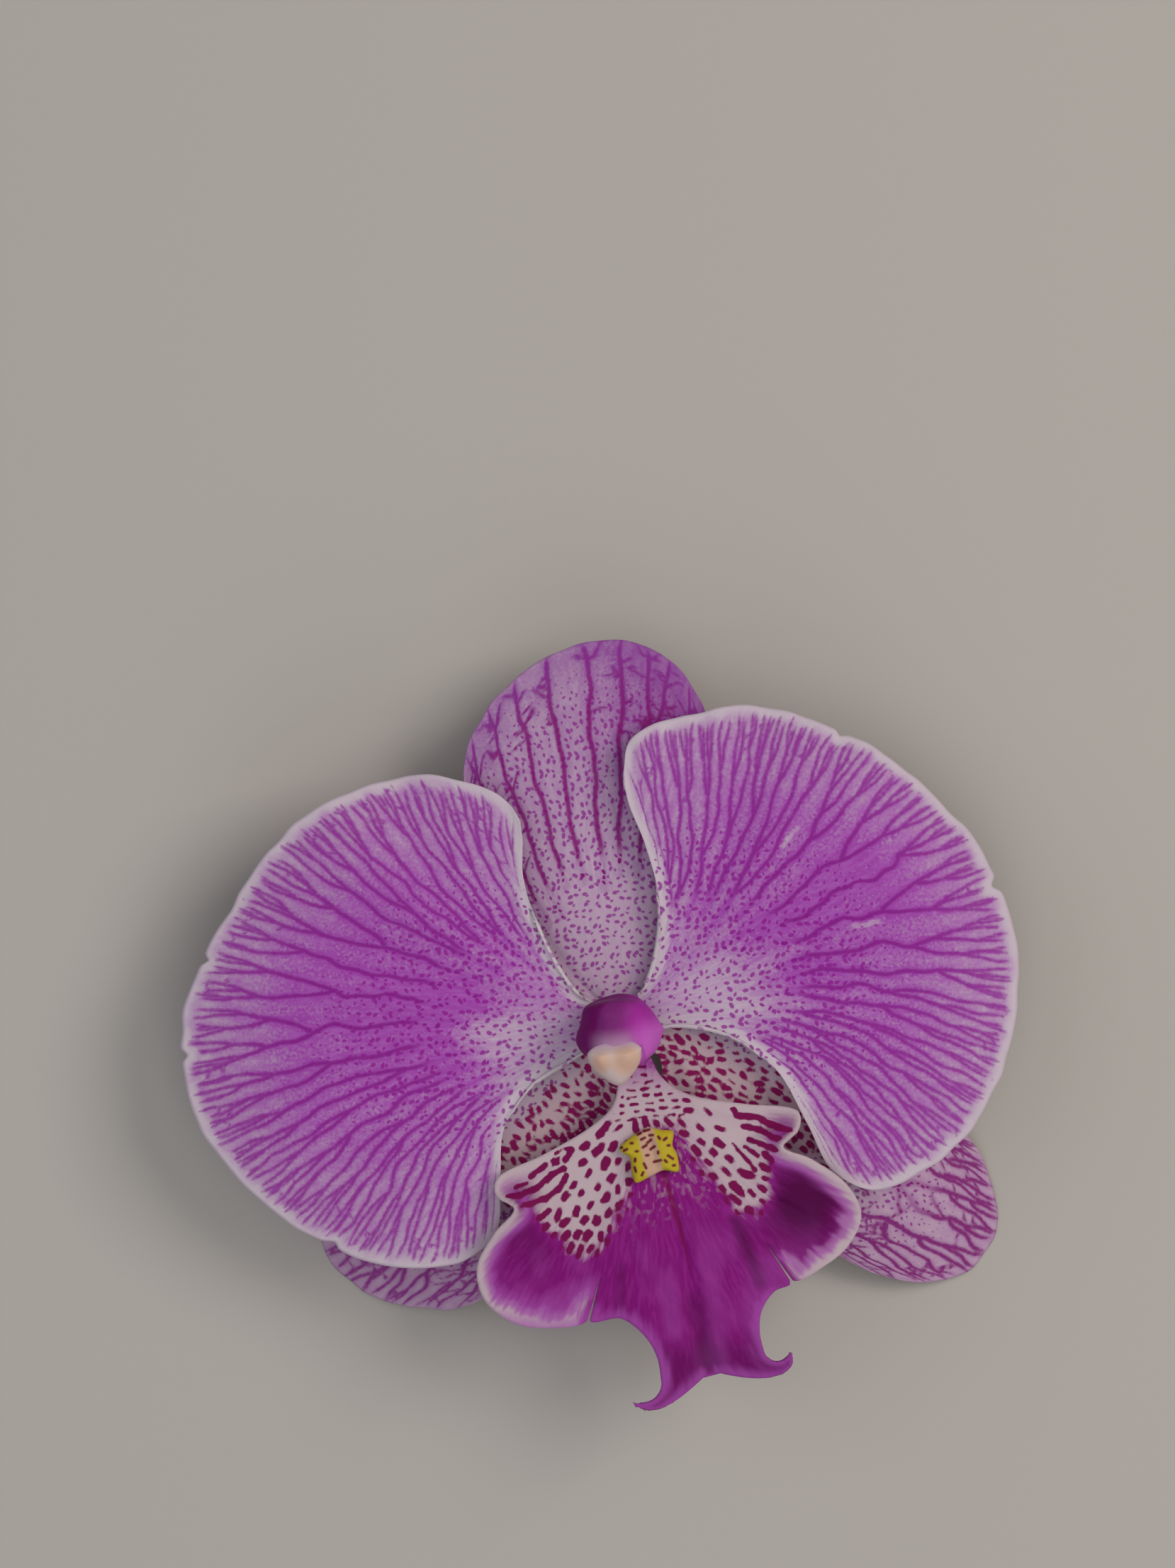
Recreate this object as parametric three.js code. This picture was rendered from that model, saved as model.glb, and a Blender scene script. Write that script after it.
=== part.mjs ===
import * as THREE from 'three';

// One bloom of a moth orchid, picked with its pedicel and lying face up on a flat surface.
// Millimetres, +Z up, +X along the line of the two petals, +Y toward the dorsal sepal.
// The outlines are given in the bloom's own frame: the foot of the column is at x = 0, y = 0
// and the plane where the petals join is z = 0. The whole bloom is then raised onto the surface.

// Driving dimensions
const LIFT = 13;                 // height of the petals' plane above the surface
const MIDDLE = [-2.3, -0.5];     // middle of the bloom's outline, which is the part's origin
const PETAL_THICKNESS = 0.75;
const SEPAL_THICKNESS = 0.8;
const LIP_THICKNESS = 0.9;
const LEAST_SLOPE = 0.55;        // steepest stretch a blade's thickness is corrected for
const RING_SIDES = 20;           // sides of the column, the cap and the pedicel
const ROW_SPREAD = 1.15;         // a blade's rows lie closer toward the claw above 1
const COLUMNS_PER_POINT = 2;     // lines of a blade for each point of its far margin
const BLADE_ROWS = 9;            // rows of a petal or a sepal from its claw to its far margin
const ROUGHNESS = 0.6;

// A closed mesh from a list of points and a list of triangles, as one named piece.
function piece(name, points, triangles, colour) {
  const geometry = new THREE.BufferGeometry();
  geometry.setAttribute('position', new THREE.Float32BufferAttribute(points.flatMap((p) => p.toArray()), 3));
  geometry.setIndex(triangles.flat());
  geometry.computeVertexNormals();
  const material = new THREE.MeshStandardMaterial({ color: colour, roughness: ROUGHNESS, metalness: 0 });
  const mesh = new THREE.Mesh(geometry, material);
  mesh.name = name;
  return mesh;
}

// One side of a blade: the outline's stretch between two of its points, read at even lengths.
const SIDE_STEPS = 60;
function side(at, from, to) {
  const points = Array.from({ length: SIDE_STEPS + 1 }, (_, k) => at(from + ((to - from) * k) / SIDE_STEPS));
  const lengths = [0];
  points.slice(1).forEach((point, k) => lengths.push(lengths[k] + point.distanceTo(points[k])));
  return (share) => {
    const goal = share * lengths[SIDE_STEPS];
    const k = Math.max(lengths.findIndex((length) => length >= goal - 1e-6), 1);
    return points[k - 1].clone().lerp(points[k], (goal - lengths[k - 1]) / (lengths[k] - lengths[k - 1]));
  };
}

// A blade is a fan of lines from its claw to its far margin, as the veins run. Its outline starts
// at one end of the claw, runs round the tip and ends at the claw's other end. The stretches from
// the claw to the shoulders are its two sides, and each bends the lines on its own half with it.
function blade({ name, outline, shoulders, crown, thickness, colour }) {
  const whole = new THREE.CatmullRomCurve3(outline.map((p) => new THREE.Vector3(...p)), false, 'centripetal');
  const last = outline.length - 1;
  const [first, second] = shoulders;
  const at = (index) => whole.getPoint(Math.min(Math.max(index / last, 0), 1));
  const left = side(at, 0, first);
  const right = side(at, last, second);
  const columns = (second - first) * COLUMNS_PER_POINT;
  const top = [];
  for (let j = 0; j <= BLADE_ROWS; j += 1) {
    const s = (j / BLADE_ROWS) ** ROW_SPREAD;
    const bends = [left, right].map((edge) => edge(s).sub(edge(0).lerp(edge(1), s)));
    for (let i = 0; i <= columns; i += 1) {
      const t = i / columns;
      const point = left(0).lerp(right(0), t).lerp(at(first + (second - first) * t), s);
      point.add(bends[0].clone().lerp(bends[1], THREE.MathUtils.smoothstep(t, 0, 1)));
      point.z += crown(t, s);
      top.push(point);
    }
  }
  return sheet({ name, top, rows: BLADE_ROWS, columns, thickness, colour });
}

// A grid of points becomes a blade of even thickness. The underside lies straight below the top,
// with the same diagonals, and what would sink into the surface is pressed flat on it.
function sheet({ name, top, rows, columns, thickness, colour }) {
  const wide = columns + 1;
  const index = (j, i) => j * wide + i;
  const clampTo = (value, most) => Math.min(Math.max(value, 0), most);
  const bottom = top.map((point, k) => {
    const j = Math.floor(k / wide);
    const i = k % wide;
    const along = top[index(clampTo(j + 1, rows), i)].clone().sub(top[index(clampTo(j - 1, rows), i)]);
    const across = top[index(j, clampTo(i + 1, columns))].clone().sub(top[index(j, clampTo(i - 1, columns))]);
    const normal = along.cross(across).normalize();
    const upright = Math.max(Math.abs(normal.z), LEAST_SLOPE);
    return new THREE.Vector3(point.x, point.y, Math.max(point.z - thickness / upright, -LIFT));
  });
  top.forEach((point, k) => {
    point.z = Math.max(point.z, bottom[k].z + thickness);
  });
  const count = top.length;
  const triangles = [];
  const quad = (a, b, c, d) => triangles.push([a, b, c], [a, c, d]);
  for (let j = 0; j < rows; j += 1) {
    for (let i = 0; i < columns; i += 1) {
      const corners = [index(j, i), index(j, i + 1), index(j + 1, i + 1), index(j + 1, i)];
      quad(...corners);
      const [a, b, c, d] = corners.map((k) => k + count);
      triangles.push([c, b, a], [d, c, a]);
    }
  }
  const rim = [];
  for (let i = 0; i < columns; i += 1) rim.push(index(0, i));
  for (let j = 0; j < rows; j += 1) rim.push(index(j, columns));
  for (let i = columns; i > 0; i -= 1) rim.push(index(rows, i));
  for (let j = rows; j > 0; j -= 1) rim.push(index(j, 0));
  rim.forEach((k, n) => {
    const next = rim[(n + 1) % rim.length];
    quad(next, k, k + count, next + count);
  });
  return outward(name, top.concat(bottom), triangles, colour);
}

// Turns all triangles round if the mesh came out inside out.
function outward(name, points, triangles, colour) {
  const volume = triangles.reduce((sum, [a, b, c]) => {
    return sum + points[a].clone().cross(points[b]).dot(points[c]);
  }, 0);
  const turned = volume < 0 ? triangles.map(([a, b, c]) => [a, c, b]) : triangles;
  return piece(name, points, turned, colour);
}

// A closed skin over rings of equal count, with each end closed by a fan to its middle.
function skin(name, rings, colour) {
  const sides = rings[0].length;
  const points = rings.flat();
  const triangles = [];
  for (let r = 0; r < rings.length - 1; r += 1) {
    for (let k = 0; k < sides; k += 1) {
      const a = r * sides + k;
      const b = r * sides + (k + 1) % sides;
      triangles.push([a, b, b + sides], [a, b + sides, a + sides]);
    }
  }
  const middle = (ring) => ring.reduce((sum, p) => sum.add(p), new THREE.Vector3()).divideScalar(sides);
  const start = points.push(middle(rings[0])) - 1;
  const end = points.push(middle(rings[rings.length - 1])) - 1;
  const lastRing = (rings.length - 1) * sides;
  for (let k = 0; k < sides; k += 1) {
    const next = (k + 1) % sides;
    triangles.push([start, next, k], [end, lastRing + k, lastRing + next]);
  }
  return outward(name, points, triangles, colour);
}

// A ring in a plane that leans by tilt degrees toward the lip, wider or flatter front to back.
// Its first corner stands off the X axis by start, as a share of a side.
function ring({ at, tilt, wide, back, front, radius = () => 1, sides = RING_SIDES, start = 0 }) {
  const lean = THREE.MathUtils.degToRad(tilt);
  const across = new THREE.Vector3(1, 0, 0);
  const rear = new THREE.Vector3(0, Math.cos(lean), Math.sin(lean));
  return Array.from({ length: sides }, (_, k) => {
    const turn = ((k + start) / sides) * Math.PI * 2;
    const depth = Math.sin(turn) > 0 ? back : front;
    const point = new THREE.Vector3(...at);
    point.addScaledVector(across, wide * Math.cos(turn) * radius(turn));
    point.addScaledVector(rear, depth * Math.sin(turn) * radius(turn));
    return point;
  });
}

const arch = (s) => 4 * s * (1 - s);

// Sepals: the outer whorl of three. The dorsal one stands up behind the petals with its sides
// turned back, and the two lateral ones curve back until their tips touch the surface.
const dorsalSepal = blade({
  name: 'dorsal_sepal',
  outline: [
    [-2.3, 1.9, -0.5], [-4.1, 3.4, -0.3], [-7.5, 7.8, -0.5], [-11.0, 14.5, -0.8], [-14.1, 22.7, -1.2],
    [-15.6, 29.8, -1.6], [-15.0, 33.7, -1.9], [-12.9, 37.3, -2.2], [-9.7, 40.9, -2.5], [-5.6, 43.7, -2.8],
    [-1.5, 45.0, -3.0], [2.8, 45.2, -3.0], [6.4, 44.6, -2.8], [9.5, 43.1, -2.5], [11.9, 40.5, -2.2],
    [13.4, 37.5, -1.9], [14.2, 34.3, -1.6], [13.1, 27.8, -1.2], [10.3, 20.2, -0.8], [7.3, 12.6, -0.5],
    [4.8, 6.2, -0.3], [2.2, 1.9, -0.5],
  ],
  shoulders: [4, 17],
  crown: (t, s) => 2.4 * Math.sin(Math.PI * t) * Math.sin(0.78 * Math.PI * s),
  thickness: SEPAL_THICKNESS,
  colour: 0xb77fb4,
});

const lateralCrown = (t, s) => 3.2 * Math.sin(Math.PI * t) * Math.sin(Math.PI * s);

const lateralSepalLeft = blade({
  name: 'lateral_sepal_left',
  outline: [
    [-2.7, 0.9, -0.6], [-8.5, -2.6, -0.6], [-16.0, -6.2, -1.4], [-24.0, -10.6, -3.4], [-31.5, -15.4, -7.0],
    [-36.8, -20.0, -10.6], [-38.6, -23.6, -12.4], [-37.6, -26.6, -12.6], [-35.2, -29.4, -12.4],
    [-31.4, -31.5, -11.4], [-26.8, -32.8, -9.8], [-21.8, -32.8, -8.2], [-15.6, -29.6, -6.4],
    [-10.0, -24.0, -4.8], [-5.0, -17.0, -3.4], [-2.2, -11.5, -2.4], [-1.0, -7.4, -1.6], [-0.7, -2.7, -0.6],
  ],
  shoulders: [4, 12],
  crown: lateralCrown,
  thickness: SEPAL_THICKNESS,
  colour: 0xb98fae,
});

const lateralSepalRight = blade({
  name: 'lateral_sepal_right',
  outline: [
    [2.9, 0.5, -0.6], [9.0, -2.4, -0.6], [16.5, -5.8, -1.2], [25.0, -9.4, -3.0], [33.5, -13.4, -6.4],
    [39.4, -17.6, -9.8], [42.2, -22.0, -11.6], [43.2, -27.0, -12.4], [42.4, -31.8, -12.6],
    [39.6, -35.2, -12.2], [35.0, -36.2, -11.2], [29.6, -35.2, -9.8], [23.4, -31.6, -8.0],
    [16.6, -26.0, -6.2], [10.6, -19.8, -4.6], [6.6, -13.6, -3.2], [4.5, -8.6, -2.2], [4.2, -5.0, -1.4],
    [0.9, -2.7, -0.6],
  ],
  shoulders: [4, 12],
  crown: lateralCrown,
  thickness: SEPAL_THICKNESS,
  colour: 0xb98fae,
});

// Petals: the two broad blades of the inner whorl, which overlap the sepals from in front. Their
// upper lobes stand forward and their margins wave a little.
const petalCrown = (t, s) => 2.2 * arch(s) * (0.4 + 0.6 * Math.sin(Math.PI * t));

const petalLeft = blade({
  name: 'petal_left',
  outline: [
    [-1.7, 2.3, 0.9], [-4.4, 3.4, 1.4], [-6.8, 7.2, 2.2], [-8.6, 12.4, 3.0], [-9.6, 18.2, 3.6],
    [-9.3, 24.0, 4.2], [-11.4, 28.2, 4.2], [-17.4, 30.8, 3.4], [-25.0, 31.3, 3.0], [-32.0, 29.3, 3.4],
    [-38.6, 24.9, 2.8], [-44.6, 18.3, 1.3], [-49.4, 10.8, 0.9], [-52.2, 3.6, 0.0], [-52.0, -4.4, -0.3],
    [-48.6, -12.4, 0.7], [-42.7, -19.6, 0.5], [-35.4, -24.2, 1.0], [-28.0, -26.8, 1.9], [-21.4, -26.7, 2.1],
    [-17.2, -23.6, 2.4], [-16.1, -17.6, 2.7], [-15.0, -11.4, 2.7], [-11.5, -6.7, 2.2], [-6.4, -4.1, 1.5],
    [-1.9, -2.3, 0.9],
  ],
  shoulders: [5, 20],
  crown: petalCrown,
  thickness: PETAL_THICKNESS,
  colour: 0xa855b4,
});

const petalRight = blade({
  name: 'petal_right',
  outline: [
    [1.7, 2.3, 0.9], [3.8, 4.0, 1.4], [5.7, 8.6, 2.2], [6.2, 14.0, 3.0], [5.2, 20.4, 3.7], [3.6, 26.8, 4.3],
    [4.8, 33.0, 4.4], [10.6, 35.1, 3.9], [18.0, 35.4, 3.3], [25.6, 33.6, 3.3], [32.8, 29.6, 3.4],
    [39.2, 23.8, 2.6], [44.4, 17.0, 1.5], [47.0, 9.4, 0.9], [47.9, 1.2, 0.1], [46.6, -7.4, 0.0],
    [42.0, -15.4, 0.9], [35.0, -21.3, 1.0], [28.2, -23.3, 1.8], [23.4, -20.6, 2.4], [20.9, -14.6, 2.7],
    [17.8, -7.6, 2.6], [12.6, -2.9, 2.2], [6.6, -1.2, 1.6], [1.9, -1.9, 0.9],
  ],
  shoulders: [5, 19],
  crown: petalCrown,
  thickness: PETAL_THICKNESS,
  colour: 0xa855b4,
});

// Lip: the third petal, a broad shield on a narrow neck. Its lower end is drawn out in two
// prongs that are listed straight and then curled round a centre each, outward and up.
const CURLS = [
  { centre: [-1.8, -42.9], turn: 2.6, side: 1 },
  { centre: [14.7, -40.6], turn: 2.0, side: -1 },
];
const NOTCH_X = 6.3;

function curl(point) {
  const end = CURLS[point.x < NOTCH_X ? 0 : 1];
  const [x, y] = end.centre;
  const below = y - point.y;
  if (below <= 0) return;
  const radius = (point.x - x) * end.side;
  const angle = below / Math.max(radius, end.turn);
  point.x = x + end.side * radius * Math.cos(angle);
  point.y = y - radius * Math.sin(angle);
}

// The lip rises from its neck to a nearly level shield whose wings droop, with a groove that
// runs down its keel from below the callus.
const NECK = [1.4, -4.5];
const KEEL_LEAN = 0.13;
const keelX = (y) => NECK[0] + (NECK[1] - y) * KEEL_LEAN;

function lipHeight(x, y) {
  const down = NECK[1] - y;
  const rise = 3.4 * (1 - Math.exp(-down / 9)) - 0.0012 * Math.max(down - 23, 0) ** 2;
  const aside = x - keelX(y);
  const groove = 0.45 * Math.exp(-((aside / 1.3) ** 2)) * THREE.MathUtils.smoothstep(down, 14, 24);
  return 3.0 + rise - 0.0034 * aside ** 2 - groove;
}

// Each line gives a place on the keel and the two points of the margin that it is joined to. A
// margin point has its lift above the shield, which is highest at the rolled corners.
const LIP_RIBS = [
  [-4.8, [-0.5, -4.9, 0], [3.2, -4.7, 0]],
  [-6.2, [-1.0, -7.6, 0], [4.0, -6.8, 0]],
  [-7.4, [-1.9, -10.0, 0], [5.6, -8.6, 0]],
  [-8.5, [-4.6, -12.1, 0], [8.6, -10.1, 0]],
  [-9.6, [-10.5, -14.8, 0.3], [13.8, -11.4, 0.4]],
  [-10.2, [-16.6, -17.3, 1.0], [19.9, -12.9, 1.2]],
  [-10.3, [-16.9, -19.4, 1.8], [18.5, -14.9, 1.9]],
  [-10.4, [-14.7, -22.0, 2.0], [17.8, -17.0, 2.2]],
  [-10.5, [-17.4, -24.9, 1.4], [20.9, -19.0, 1.6]],
  [-10.65, [-20.1, -28.6, 0.9], [25.0, -22.7, 1.2]],
  [-10.8, [-19.6, -32.4, 0.8], [26.3, -26.6, 1.0]],
  [-11.0, [-15.9, -35.4, 0.8], [24.4, -30.4, 0.9]],
  [-11.3, [-11.2, -35.9, 0.5], [21.2, -32.2, 0.6]],
  [-11.6, [-7.7, -35.3, 0.2], [17.9, -32.9, 0.3]],
  [-11.95, [-5.3, -30.6, 0], [14.5, -28.9, 0]],
  [-12.5, [-6.4, -35.5, -0.2], [16.6, -33.0, -0.2]],
  [-14.2, [-3.3, -35.3, 0], [14.6, -33.5, 0]],
  [-18.5, [-0.9, -37.5, 0.2], [13.2, -35.8, 0.2]],
  [-24.0, [0.3, -40.2, 0.3], [12.6, -38.4, 0.4]],
  [-30.0, [0.5, -43.2, 0.3], [12.9, -41.2, 0.6]],
  [-34.5, [0.6, -46.4, 0.5], [13.2, -43.8, 0.9]],
  [-37.5, [0.8, -49.8, 1.6], [13.4, -46.9, 1.8]],
  [-39.3, [1.4, -47.8, 0.6], [12.4, -45.3, 0.8]],
  [-40.6, [2.4, -46.0, 0.2], [10.8, -44.5, 0.2]],
  [-41.7, [3.8, -44.4, 0], [8.9, -43.5, 0]],
  [-42.6, [5.4, -43.1, 0], [7.2, -42.8, 0]],
];
const LIP_ROWS_PER_RIB = 2;
const LIP_COLUMNS = 14;
const MARGIN_LIFT_POWER = 4;     // how close to the margin its lift sets in

function makeLip() {
  const smooth = (points) => new THREE.CatmullRomCurve3(points, false, 'centripetal');
  const keel = smooth(LIP_RIBS.map(([y]) => new THREE.Vector3(keelX(y), y, 0)));
  const edges = [1, 2].map((k) => smooth(LIP_RIBS.map((rib) => new THREE.Vector3(...rib[k]))));
  const rows = (LIP_RIBS.length - 1) * LIP_ROWS_PER_RIB;
  const top = [];
  for (let j = 0; j <= rows; j += 1) {
    for (let i = 0; i <= LIP_COLUMNS; i += 1) {
      const aside = (2 * i) / LIP_COLUMNS - 1;
      const edge = edges[aside < 0 ? 0 : 1].getPoint(j / rows);
      const point = keel.getPoint(j / rows).lerp(edge, Math.abs(aside));
      point.z = lipHeight(point.x, point.y) + edge.z * Math.abs(aside) ** MARGIN_LIFT_POWER;
      curl(point);
      top.push(point);
    }
  }
  return sheet({ name: 'lip', top, rows, columns: LIP_COLUMNS, thickness: LIP_THICKNESS, colour: 0x9a2c8c });
}

const lip = makeLip();

// Callus: the raised yellow body on the lip's throat, four blunt arms round a ridged middle.
const CALLUS_MIDDLE = [1.9, -16.1];
const CALLUS_SEAT = 0.35;
const CALLUS_ARMS = [
  [0.1, 3.3], [-1.8, 2.4], [-3.5, 1.0], [-2.4, -0.1], [-2.3, -1.9], [-2.0, -3.1], [-0.5, -2.7],
  [1.4, -2.0], [3.1, -2.3], [3.2, -0.3], [2.8, 0.8], [3.0, 2.4], [1.5, 2.8],
];
const callusRing = (scale, height) => CALLUS_ARMS.map((arm) => {
  const x = CALLUS_MIDDLE[0] + arm[0] * scale;
  const y = CALLUS_MIDDLE[1] + arm[1] * scale;
  return new THREE.Vector3(x, y, lipHeight(x, y) + CALLUS_SEAT + height);
});
const callus = skin('callus', [
  callusRing(0.8, 0), callusRing(1, 0.5), callusRing(0.95, 1.1), callusRing(0.7, 1.6), callusRing(0.3, 1.8),
], 0xb9af28);

// Column: the stubby club in the middle, with a foot toward the lip, a hollow stigma under its
// tip and a flat tip that leans toward the lip, where the cap sits.
const TIP_TILT = 30;
const hollow = (depth) => (turn) => 1 - depth * Math.exp(-(((turn - Math.PI * 1.5) / 0.6) ** 2));
const column = skin('column', [
  ring({ at: [0.0, 0.1, 1.3], tilt: 0, wide: 1.6, back: 1.6, front: 1.6 }),
  ring({ at: [0.0, 0.1, 2.2], tilt: 0, wide: 2.5, back: 2.6, front: 3.6 }),
  ring({ at: [0.0, 0.1, 3.0], tilt: 0, wide: 3.1, back: 2.8, front: 4.6 }),
  ring({ at: [0.0, 0.1, 4.0], tilt: 4, wide: 3.6, back: 2.9, front: 3.6 }),
  ring({ at: [-0.1, -0.2, 5.6], tilt: 8, wide: 4.3, back: 3.0, front: 2.8, radius: hollow(0.1) }),
  ring({ at: [-0.2, -0.8, 7.4], tilt: 14, wide: 5.0, back: 3.3, front: 2.8, radius: hollow(0.3) }),
  ring({ at: [-0.3, -1.6, 9.0], tilt: 20, wide: 5.2, back: 3.6, front: 3.1, radius: hollow(0.3) }),
  ring({ at: [-0.5, -2.6, 10.2], tilt: 26, wide: 4.6, back: 3.6, front: 3.4 }),
  ring({ at: [-0.8, -3.4, 11.0], tilt: TIP_TILT, wide: 3.6, back: 3.0, front: 3.3 }),
  ring({ at: [-0.9, -3.7, 11.5], tilt: TIP_TILT, wide: 2.4, back: 2.0, front: 2.4 }),
], 0x8e3a96);

// Anther cap: the small cream hood over the tip, with a blunt beak toward the lip.
const beak = (turn) => 1 + 0.22 * Math.exp(-(((turn - Math.PI * 1.5) / 0.5) ** 2));
const CAP_SEAT = new THREE.Vector3(-0.95, -3.95, 11.95);
const CAP_LEAN = THREE.MathUtils.degToRad(TIP_TILT);
const CAP_AXIS = new THREE.Vector3(0, -Math.sin(CAP_LEAN), Math.cos(CAP_LEAN));
const capRing = (scale, height) => ring({
  at: CAP_SEAT.clone().addScaledVector(CAP_AXIS, height).toArray(),
  tilt: TIP_TILT,
  wide: 3.15 * scale,
  back: 2.6 * scale,
  front: 2.7 * scale,
  radius: beak,
});
const antherCap = skin('anther_cap', [
  capRing(0.75, 0), capRing(0.98, 0.4), capRing(1, 0.9), capRing(0.84, 1.5), capRing(0.5, 2.0), capRing(0.2, 2.15),
], 0xd8c4ac);

// Pedicel: from the scar where it was picked it lies along the surface, then it bends up under the
// dorsal sepal and flares into the receptacle that carries the sepals. Where it lies, one of its
// sides faces straight down and is pressed flat on the surface.
const PEDICEL_BEND = [
  { at: [1.25, 37.8, -11.35], tilt: -90, radius: 1.5 },
  { at: [1.2, 37.0, -11.25], tilt: -90, radius: 1.9 },
  { at: [1.1, 35.4, -11.6], tilt: -90, radius: 1.6 },
  { at: [0.6, 30.0, -11.6], tilt: -90, radius: 1.55 },
  { at: [0.2, 22.0, -11.55], tilt: -90, radius: 1.6 },
  { at: [0, 14.0, -11.5], tilt: -90, radius: 1.65 },
  { at: [0, 10.0, -11.35], tilt: -84, radius: 1.7 },
  { at: [0, 6.6, -10.7], tilt: -72, radius: 1.75 },
  { at: [0, 3.9, -9.4], tilt: -58, radius: 1.8 },
  { at: [0, 1.8, -7.6], tilt: -42, radius: 1.85 },
  { at: [0, 0.5, -5.6], tilt: -22, radius: 1.9 },
  { at: [0, -0.1, -3.6], tilt: -6, radius: 2.1 },
  { at: [0, -0.2, -2.4], tilt: 0, radius: 2.8 },
  { at: [0, -0.2, -1.7], tilt: 0, radius: 2.9 },
];
const PEDICEL_SIDES = 16;
const pedicel = skin('pedicel', PEDICEL_BEND.map(({ at, tilt, radius }) => {
  const points = ring({ at, tilt, wide: radius, back: radius, front: radius, sides: PEDICEL_SIDES, start: 0.5 });
  points.forEach((point) => {
    point.z = Math.max(point.z, -LIFT);
  });
  return points;
}), 0x7f8a4a);

const flower = new THREE.Group();
flower.position.set(-MIDDLE[0], -MIDDLE[1], LIFT);
flower.add(
  pedicel, dorsalSepal, lateralSepalLeft, lateralSepalRight, petalLeft, petalRight, lip, callus, column, antherCap,
);

export default flower;
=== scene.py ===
# One bloom of a moth orchid, picked with its stalk and lying face up.
# Everything is in metres in the CAD model's frame. Sizes that are given in millimetres end in _mm.
import math

import bmesh
import bpy
import numpy as np
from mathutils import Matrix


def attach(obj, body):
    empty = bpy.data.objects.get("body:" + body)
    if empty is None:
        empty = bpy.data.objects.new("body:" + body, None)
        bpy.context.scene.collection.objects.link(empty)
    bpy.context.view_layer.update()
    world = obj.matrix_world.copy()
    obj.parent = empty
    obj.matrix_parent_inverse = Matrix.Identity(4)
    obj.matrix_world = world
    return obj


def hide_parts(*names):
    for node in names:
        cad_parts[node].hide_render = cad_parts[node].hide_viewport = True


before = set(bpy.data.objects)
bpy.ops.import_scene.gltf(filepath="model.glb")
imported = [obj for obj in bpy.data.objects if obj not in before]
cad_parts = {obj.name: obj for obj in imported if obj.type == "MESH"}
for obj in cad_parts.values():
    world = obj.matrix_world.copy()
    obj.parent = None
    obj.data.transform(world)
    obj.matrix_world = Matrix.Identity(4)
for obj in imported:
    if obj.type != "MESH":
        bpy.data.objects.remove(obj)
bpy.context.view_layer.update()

MM = 0.001


# Camera and studio
# The bloom faces straight up at the camera, as it faced the camera in the photograph, which shows it
# turned a little and brighter on its right.
bloom_middle_mm = np.array((2.3, 0.5, 13.0))
aim_mm = bloom_middle_mm + (-0.85, 28.3, 1.0)
camera_height_mm = 700.0
field_mm = 187.0
turn_of_photo = math.radians(-6)

camera_data = bpy.data.cameras.new("camera")
camera_data.lens = camera_data.sensor_width * camera_height_mm / field_mm
camera = bpy.data.objects.new("camera", camera_data)
camera.location = (aim_mm + (0, 0, camera_height_mm)) * MM
camera.rotation_euler = (0, 0, turn_of_photo)
bpy.context.scene.collection.objects.link(camera)
bpy.context.scene.camera = camera
bpy.context.scene.view_settings.view_transform = "Standard"


def linear(code):
    """An sRGB hex colour as the linear one that Blender's sockets take."""
    parts = [int(code[k:k + 2], 16) / 255 for k in (0, 2, 4)]
    return (*[p / 12.92 if p <= 0.04045 else ((p + 0.055) / 1.055) ** 2.4 for p in parts], 1)


def new_material(name, look):
    """A material whose shader has the given values in its sockets."""
    material = bpy.data.materials.new(name)
    material.use_nodes = True
    for socket, value in look.items():
        material.node_tree.nodes["Principled BSDF"].inputs[socket].default_value = value
    return material


def add(tree, kind, inputs=(), out=0, **settings):
    """Adds a node with its settings, gives each input a value or a link, and returns one output."""
    made = tree.nodes.new("ShaderNode" + kind)
    for name, value in settings.items():
        setattr(made, name, value)
    for name, value in inputs.items() if isinstance(inputs, dict) else enumerate(inputs):
        if isinstance(value, bpy.types.NodeSocket):
            tree.links.new(value, made.inputs[name])
        else:
            made.inputs[name].default_value = value
    return made.outputs[out]


def area_light(name, place, size, power, colour):
    """A soft square lamp that faces the bloom."""
    data = bpy.data.lights.new(name, "AREA")
    data.size = size
    data.energy = power
    data.color = linear(colour)[:3]
    lamp = bpy.data.objects.new(name, data)
    lamp.location = place
    away = lamp.location.normalized()
    lamp.rotation_euler = away.to_track_quat("Z", "Y").to_euler()
    bpy.context.scene.collection.objects.link(lamp)


area_light("key light", (0.75, 0.25, 0.85), 0.6, 5.9, "fff6ec")
area_light("fill light", (-0.8, 0.3, 0.9), 0.9, 2.3, "f2f4ff")
area_light("front light", (0.1, -0.9, 0.8), 0.9, 2.0, "ffffff")
area_light("top light", (0.0, -0.1, 1.3), 0.8, 3.0, "ffffff")

world = bpy.data.worlds.new("studio")
world.use_nodes = True
world.node_tree.nodes["Background"].inputs["Color"].default_value = linear("d9d9dc")
world.node_tree.nodes["Background"].inputs["Strength"].default_value = 0.18
bpy.context.scene.world = world

floor_mesh = bpy.data.meshes.new("floor")
floor_bm = bmesh.new()
bmesh.ops.create_grid(floor_bm, x_segments=1, y_segments=1, size=1.5)
floor_bm.to_mesh(floor_mesh)
floor_bm.free()
floor = bpy.data.objects.new("floor", floor_mesh)
bpy.context.scene.collection.objects.link(floor)
# Uncoated paper: flat and dull, so it takes soft shadows and gives no glare.
floor_paint = new_material("matt studio paper", {"Base Color": linear("bebab4"), "Roughness": 0.9})
floor_mesh.materials.append(floor_paint)


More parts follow.
